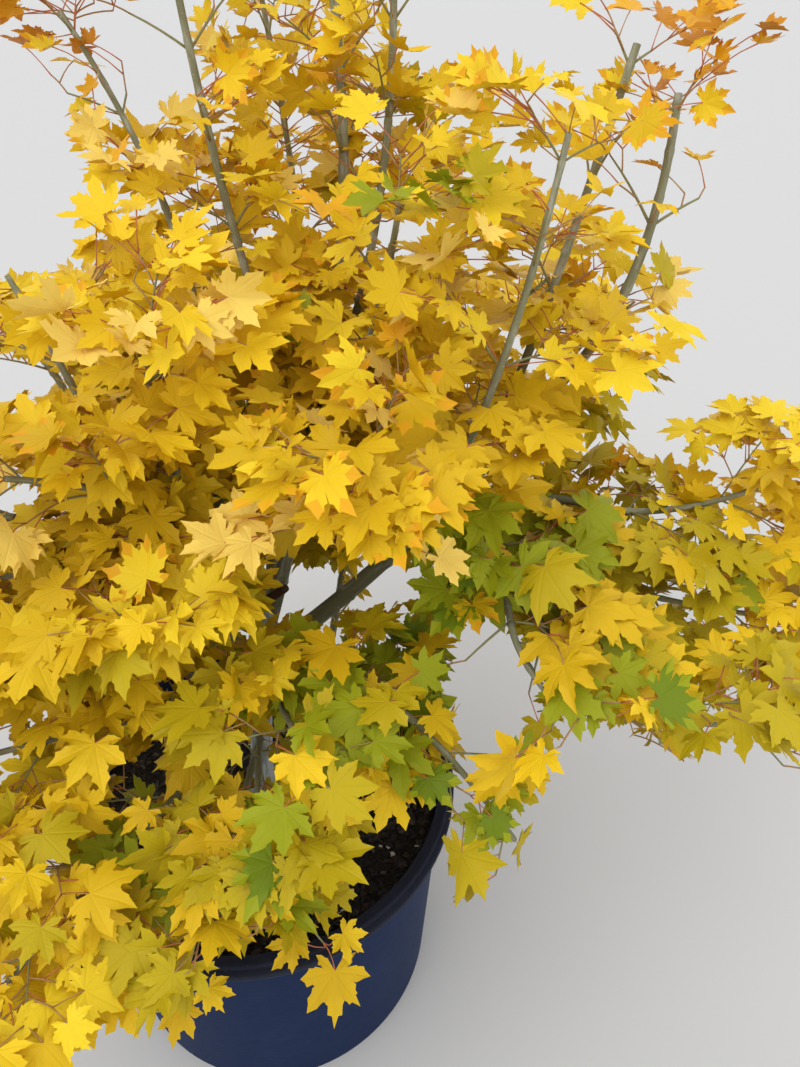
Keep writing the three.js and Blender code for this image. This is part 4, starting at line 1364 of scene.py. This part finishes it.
def settle_leaves(name, data, taken):
    """Hang the leaves of a mass, and leave out those that don't fit.

    A leaf is left out where it would be in the pot, in a limb or outside the mass's reach, where it would
    close an opening or hide a shown stem or a pruned end, where its twig crosses an opening, or on top of a
    leaf that is already there."""
    draw, twigs = data["draw"], data["twigs"]
    leaves = hung_blades(data["leaves"], draw)
    root, heart, along = leaves["root"], leaves["heart"], leaves["along"]
    size = leaves["size"][:, None]
    count = len(root)
    middle = heart + along * size * BLADE_MIDDLE
    wing = unit(np.cross(leaves["facing"], along)) * size * BLADE_SIDE
    stem = stems[name][0].at(np.linspace(0, 1, STEM_PROBES))
    in_reach = nearest(middle, stem) < MASSES[name][2] + SOLID_LEAF * REACH_SHARE
    filled = FULLNESS.get(name, 1) * mix(*FILLED, share_past(root[:, 2], *BARE))
    by_tip = (np.linalg.norm(root - stem[-1], axis=1) < TIP_KEPT) & (name not in PRUNED)
    keep = in_reach & ((draw.uniform(0, 1, count) < filled) | by_tip)
    keeps_off = draw.uniform(0, 1, count) < SHOWN_SHARE
    for point in (heart, middle, heart + along * size, middle + wing, middle - wing):
        over_pot = np.hypot(point[:, 0], point[:, 1]) < LIP_RADIUS + POT_ROOM
        keep &= ~(over_pot & (point[:, 2] < POT_HEIGHT + POT_ROOM + BLADE_ROOM))
        keep &= nearest(point, limb_probes) > LIMB_ROOM
        seen, depth = in_photo(point)
        beside = np.linalg.norm(seen[:, None] - shown_at[None], axis=-1) < SHOWN_BESIDE
        keep &= ~(keeps_off & (beside & (depth[:, None] < shown_depth[None])).any(1))
        at_cut = np.linalg.norm(seen[:, None] - cut_at[None], axis=-1) < CUT_BESIDE
        keep &= ~(at_cut & (depth[:, None] < cut_depth[None] + CUT_DEPTH)).any(1)
        keep &= ~in_opening(seen)
    probes = on_twig(twigs, np.tile(TWIG_PROBES, (len(twigs["root"]), 1)))
    blocked = np.append(in_opening(in_photo(probes)[0]).any(1), False)
    keep &= ~blocked[leaves["twig"]]
    spaced(middle, keep, taken)
    return {key: values[keep] for key, values in leaves.items()}


def tint_weights(place):
    """How likely each tint is at a place, by the shares in its table. Amber and scorched are dealt apart."""
    x, _, z = place.T

    def nearness(middle, reach):
        return np.exp(-(((place - middle) / reach) ** 2).sum(-1))

    green = np.max([nearness(*patch) for patch in GREEN_PATCHES], axis=0)
    low = np.clip((LOW[0] - z) / LOW[1], 0, 1)
    olive = low * np.clip(OLIVE_LEAST + (x - OLIVE_RIGHT[0]) / OLIVE_RIGHT[1], OLIVE_LEAST, 1)
    # Paler tints at the upper left are painted light, and the deeper gold in the crown's core is painted
    # shade.
    left = np.clip((PAINTED_LIGHT_LEFT[0] - x) / PAINTED_LIGHT_LEFT[1], 0, 1) * share_past(z, *PAINTED_LIGHT_LEFT_UP)
    fields = [np.ones(len(x)), share_past(z, *TINTS_UP), low, left, nearness(*PAINTED_SHADE_CORE), olive, green, green**2]
    shares = np.array([row for _, row in LEAF_TINTS.values() if row])
    return np.maximum(np.stack(fields, axis=1) @ shares.T, 0)


dry_tips = np.array([MASSES[name][1] for name in DRY_SHOOTS])


def deal_tints(leaves, sprays, draw):
    """A tint for each leaf and one for its ends: drawn for its whole spray, and now and then for itself."""
    weights = tint_weights(sprays)
    order = np.cumsum(weights, axis=1) / weights.sum(1, keepdims=True)
    by_spray = (draw.uniform(0, 1, len(sprays))[:, None] > order).sum(1)
    tint = by_spray[leaves["spray"]]
    count = len(tint)
    own = (draw.uniform(0, 1, count)[:, None] > order[leaves["spray"]]).sum(1)
    tint = np.where(draw.uniform(0, 1, count) < OWN_TINT, own, tint)
    high = share_past(leaves["heart"][:, 2], *TINTS_UP)
    luck = draw.uniform(0, 1, count)
    dry = nearest(leaves["heart"], dry_tips) < DRY_REACH
    tint = np.where(luck < AMBER[0] + AMBER[1] * high + AMBER[2] * dry, TINTS.index("leaf_amber"), tint)
    tint = np.where(luck < SCORCHED * dry, TINTS.index("leaf_scorched"), tint)
    sound = np.array([TINTS.index(SOUND_END.get(name, name)) for name in TINTS])
    burnt = np.array([TINTS.index(SCORCHED_END.get(name, SCORCHED_ELSE)) for name in TINTS])
    burns = draw.uniform(0, 1, count) < END_BURNT[0] + END_BURNT[1] * high + END_BURNT[2] * dry
    return tint, np.where(burns, burnt[tint], sound[tint])


def leaf_stalks(leaves):
    """Corners and triangles of stalks: each sets out from its root and bends over to its heart on a quadratic
    arc."""
    root, heart = leaves["root"], leaves["heart"]
    bend = root + leaves["out"] * (np.linalg.norm(heart - root, axis=1) * STALK_BEND)[:, None]
    t = np.linspace(0, 1, len(STALK_RADII))[None, :, None]
    spines = root[:, None] * (1 - t) ** 2 + bend[:, None] * 2 * t * (1 - t) + heart[:, None] * t**2
    return bars(round_rings(spines, np.tile(STALK_RADII, (len(root), 1)), STALK_SIDES))


def add_foliage(name, node, leaves, blade, which, pale):
    """Blades and their stalks as one piece. blade is what blades() gives, and pale tells the pale stalks."""
    corners, faces, _, flat = blade
    stalk_corners, stalk_faces = leaf_stalks(leaves)
    blade_corners, blade_faces = many(corners, faces)
    stalk_which = np.repeat(len(leaf_materials) + pale, len(stalk_faces) // len(corners))
    foliage = add_mesh(
        name,
        np.vstack([blade_corners, stalk_corners]),
        np.vstack([blade_faces, stalk_faces + len(blade_corners)]),
        [*leaf_materials, stalk_red, stalk_pale],
        which=np.concatenate([which, stalk_which]),
        flat=np.vstack([np.tile(flat, (len(corners), 1)), np.zeros((len(stalk_corners), 2))]),
    )
    part(foliage, node)


def make_foliage(name, data, leaves, sprays):
    """The leaves of a mass with their stalks as one piece, its twigs as another and its stem as a third."""
    draw, node = data["draw"], "leaves_" + name
    blade = blades(*[leaves[key] for key in ("heart", "along", "facing", "roll", "size")], draw)
    tint, end_tint = deal_tints(leaves, sprays, draw)
    which = np.where(blade[2][None], end_tint[:, None], tint[:, None])
    pale = draw.uniform(0, 1, len(tint)) < STALK_PALE
    add_foliage("foliage_" + name, node, leaves, blade, which.ravel(), pale)
    make_twigs(name, node, data["twigs"], data["main"], leaves)
    rings, lay = limb_rings(*stems[name], SHOOT_SHAPE, draw)
    corners, faces = bars(rings)
    cut = np.zeros(len(faces))
    if name in PRUNED:
        cut[-SHOOT_SHAPE[0] :] = 1
    looks = [barks["shoot_bark"], cut_wood]
    stem = add_mesh("stem_" + name, corners, faces, looks, which=cut, lay=bars(lay)[0])
    part(stem, node)


def make_twigs(name, node, twigs, main, leaves):
    """The twigs of a mass that carry leaves, each up to its last leaf or finer twig. The first main ones
    leave the stem or the limb, and the finer ones leave them."""
    carried = leaves["twig"] >= 0
    reached = np.zeros(len(twigs["root"]))
    np.maximum.at(reached, leaves["twig"][carried], leaves["at"][carried])
    parent = np.arange(len(reached)) % main
    np.maximum.at(reached, parent[main:], np.where(reached[main:] > 0, twigs["from"][main:], 0))
    used = np.flatnonzero(reached > 0)
    twigs = {key: values[used] for key, values in twigs.items()}
    share = np.linspace(0, 1, TWIG_POINTS) * reached[used][:, None]
    radius = np.maximum(mix(twigs["radius"][:, None], TWIG_TIP_RADIUS, share), TWIG_TIP_RADIUS)
    corners, faces = bars(round_rings(on_twig(twigs, share), radius, TWIG_SIDES))
    which = np.repeat(used >= main, len(faces) // len(used))
    part(add_mesh("twigs_" + name, corners, faces, [twig_olive, twig_brown], which=which), node)


def make_crown():
    """Every mass of leaves."""
    grown = grow()
    mains = [{key: data["twigs"][key][: data["main"]] for key in ("root", "out")} for data in grown.values()]
    sprays = np.concatenate([main["root"] + main["out"] * SPRAY_MIDDLE for main in mains])
    taken = {}
    total = 0
    for name, data in grown.items():
        leaves = settle_leaves(name, data, taken)
        total += len(leaves["root"])
        make_foliage(name, data, leaves, sprays)
    print("leaves", total)


def make_lip_sprays():
    """The sprays over the pot's lip: twigs that arch out of their stem and down, a stalk to each leaf."""
    draw = np.random.default_rng(LIP_SEED)
    stem = stems[LIP_STEM][0]
    twigs = [bowed(stem.at(share)[0], tip, LIP_TWIG_BOW) for share, tip, _ in LIP_SPRAYS]
    rows = [(twig, *row) for twig, (_, _, leaves) in zip(twigs, LIP_SPRAYS) for row in leaves]
    carriers, heart, along, size, tint = zip(*rows)
    facing = np.tile(unit(np.array(LIP_FACING)), (len(rows), 1))
    along = np.array(along)
    along = unit(along - facing * (along * facing).sum(1, keepdims=True))
    ends, outs = (np.vstack(column) for column in zip(*((twig.at(1), twig.toward(1)) for twig in carriers)))
    leaves = {"root": ends, "out": outs, "heart": np.array(heart)}
    blade = blades(leaves["heart"], along, facing, np.zeros(len(rows)), np.array(size), draw)
    which = np.repeat([TINTS.index(name) for name in tint], len(blade[1]))
    node = "leaves_" + LIP_STEM
    add_foliage("foliage_over_lip", node, leaves, blade, which, np.zeros(len(rows), bool))
    t = np.linspace(0, 1, LIP_TWIG_POINTS)
    radii = np.tile(mix(*LIP_TWIG_RADII, t), (len(twigs), 1))
    rings = round_rings(np.stack([twig.at(t) for twig in twigs]), radii, TWIG_SIDES)
    part(add_mesh("twigs_over_lip", *bars(rings), [twig_olive]), node)


add_camera()
add_stage()
make_pot()
make_mulch()
make_chips()
make_limbs()
make_crown()
make_lip_sprays()
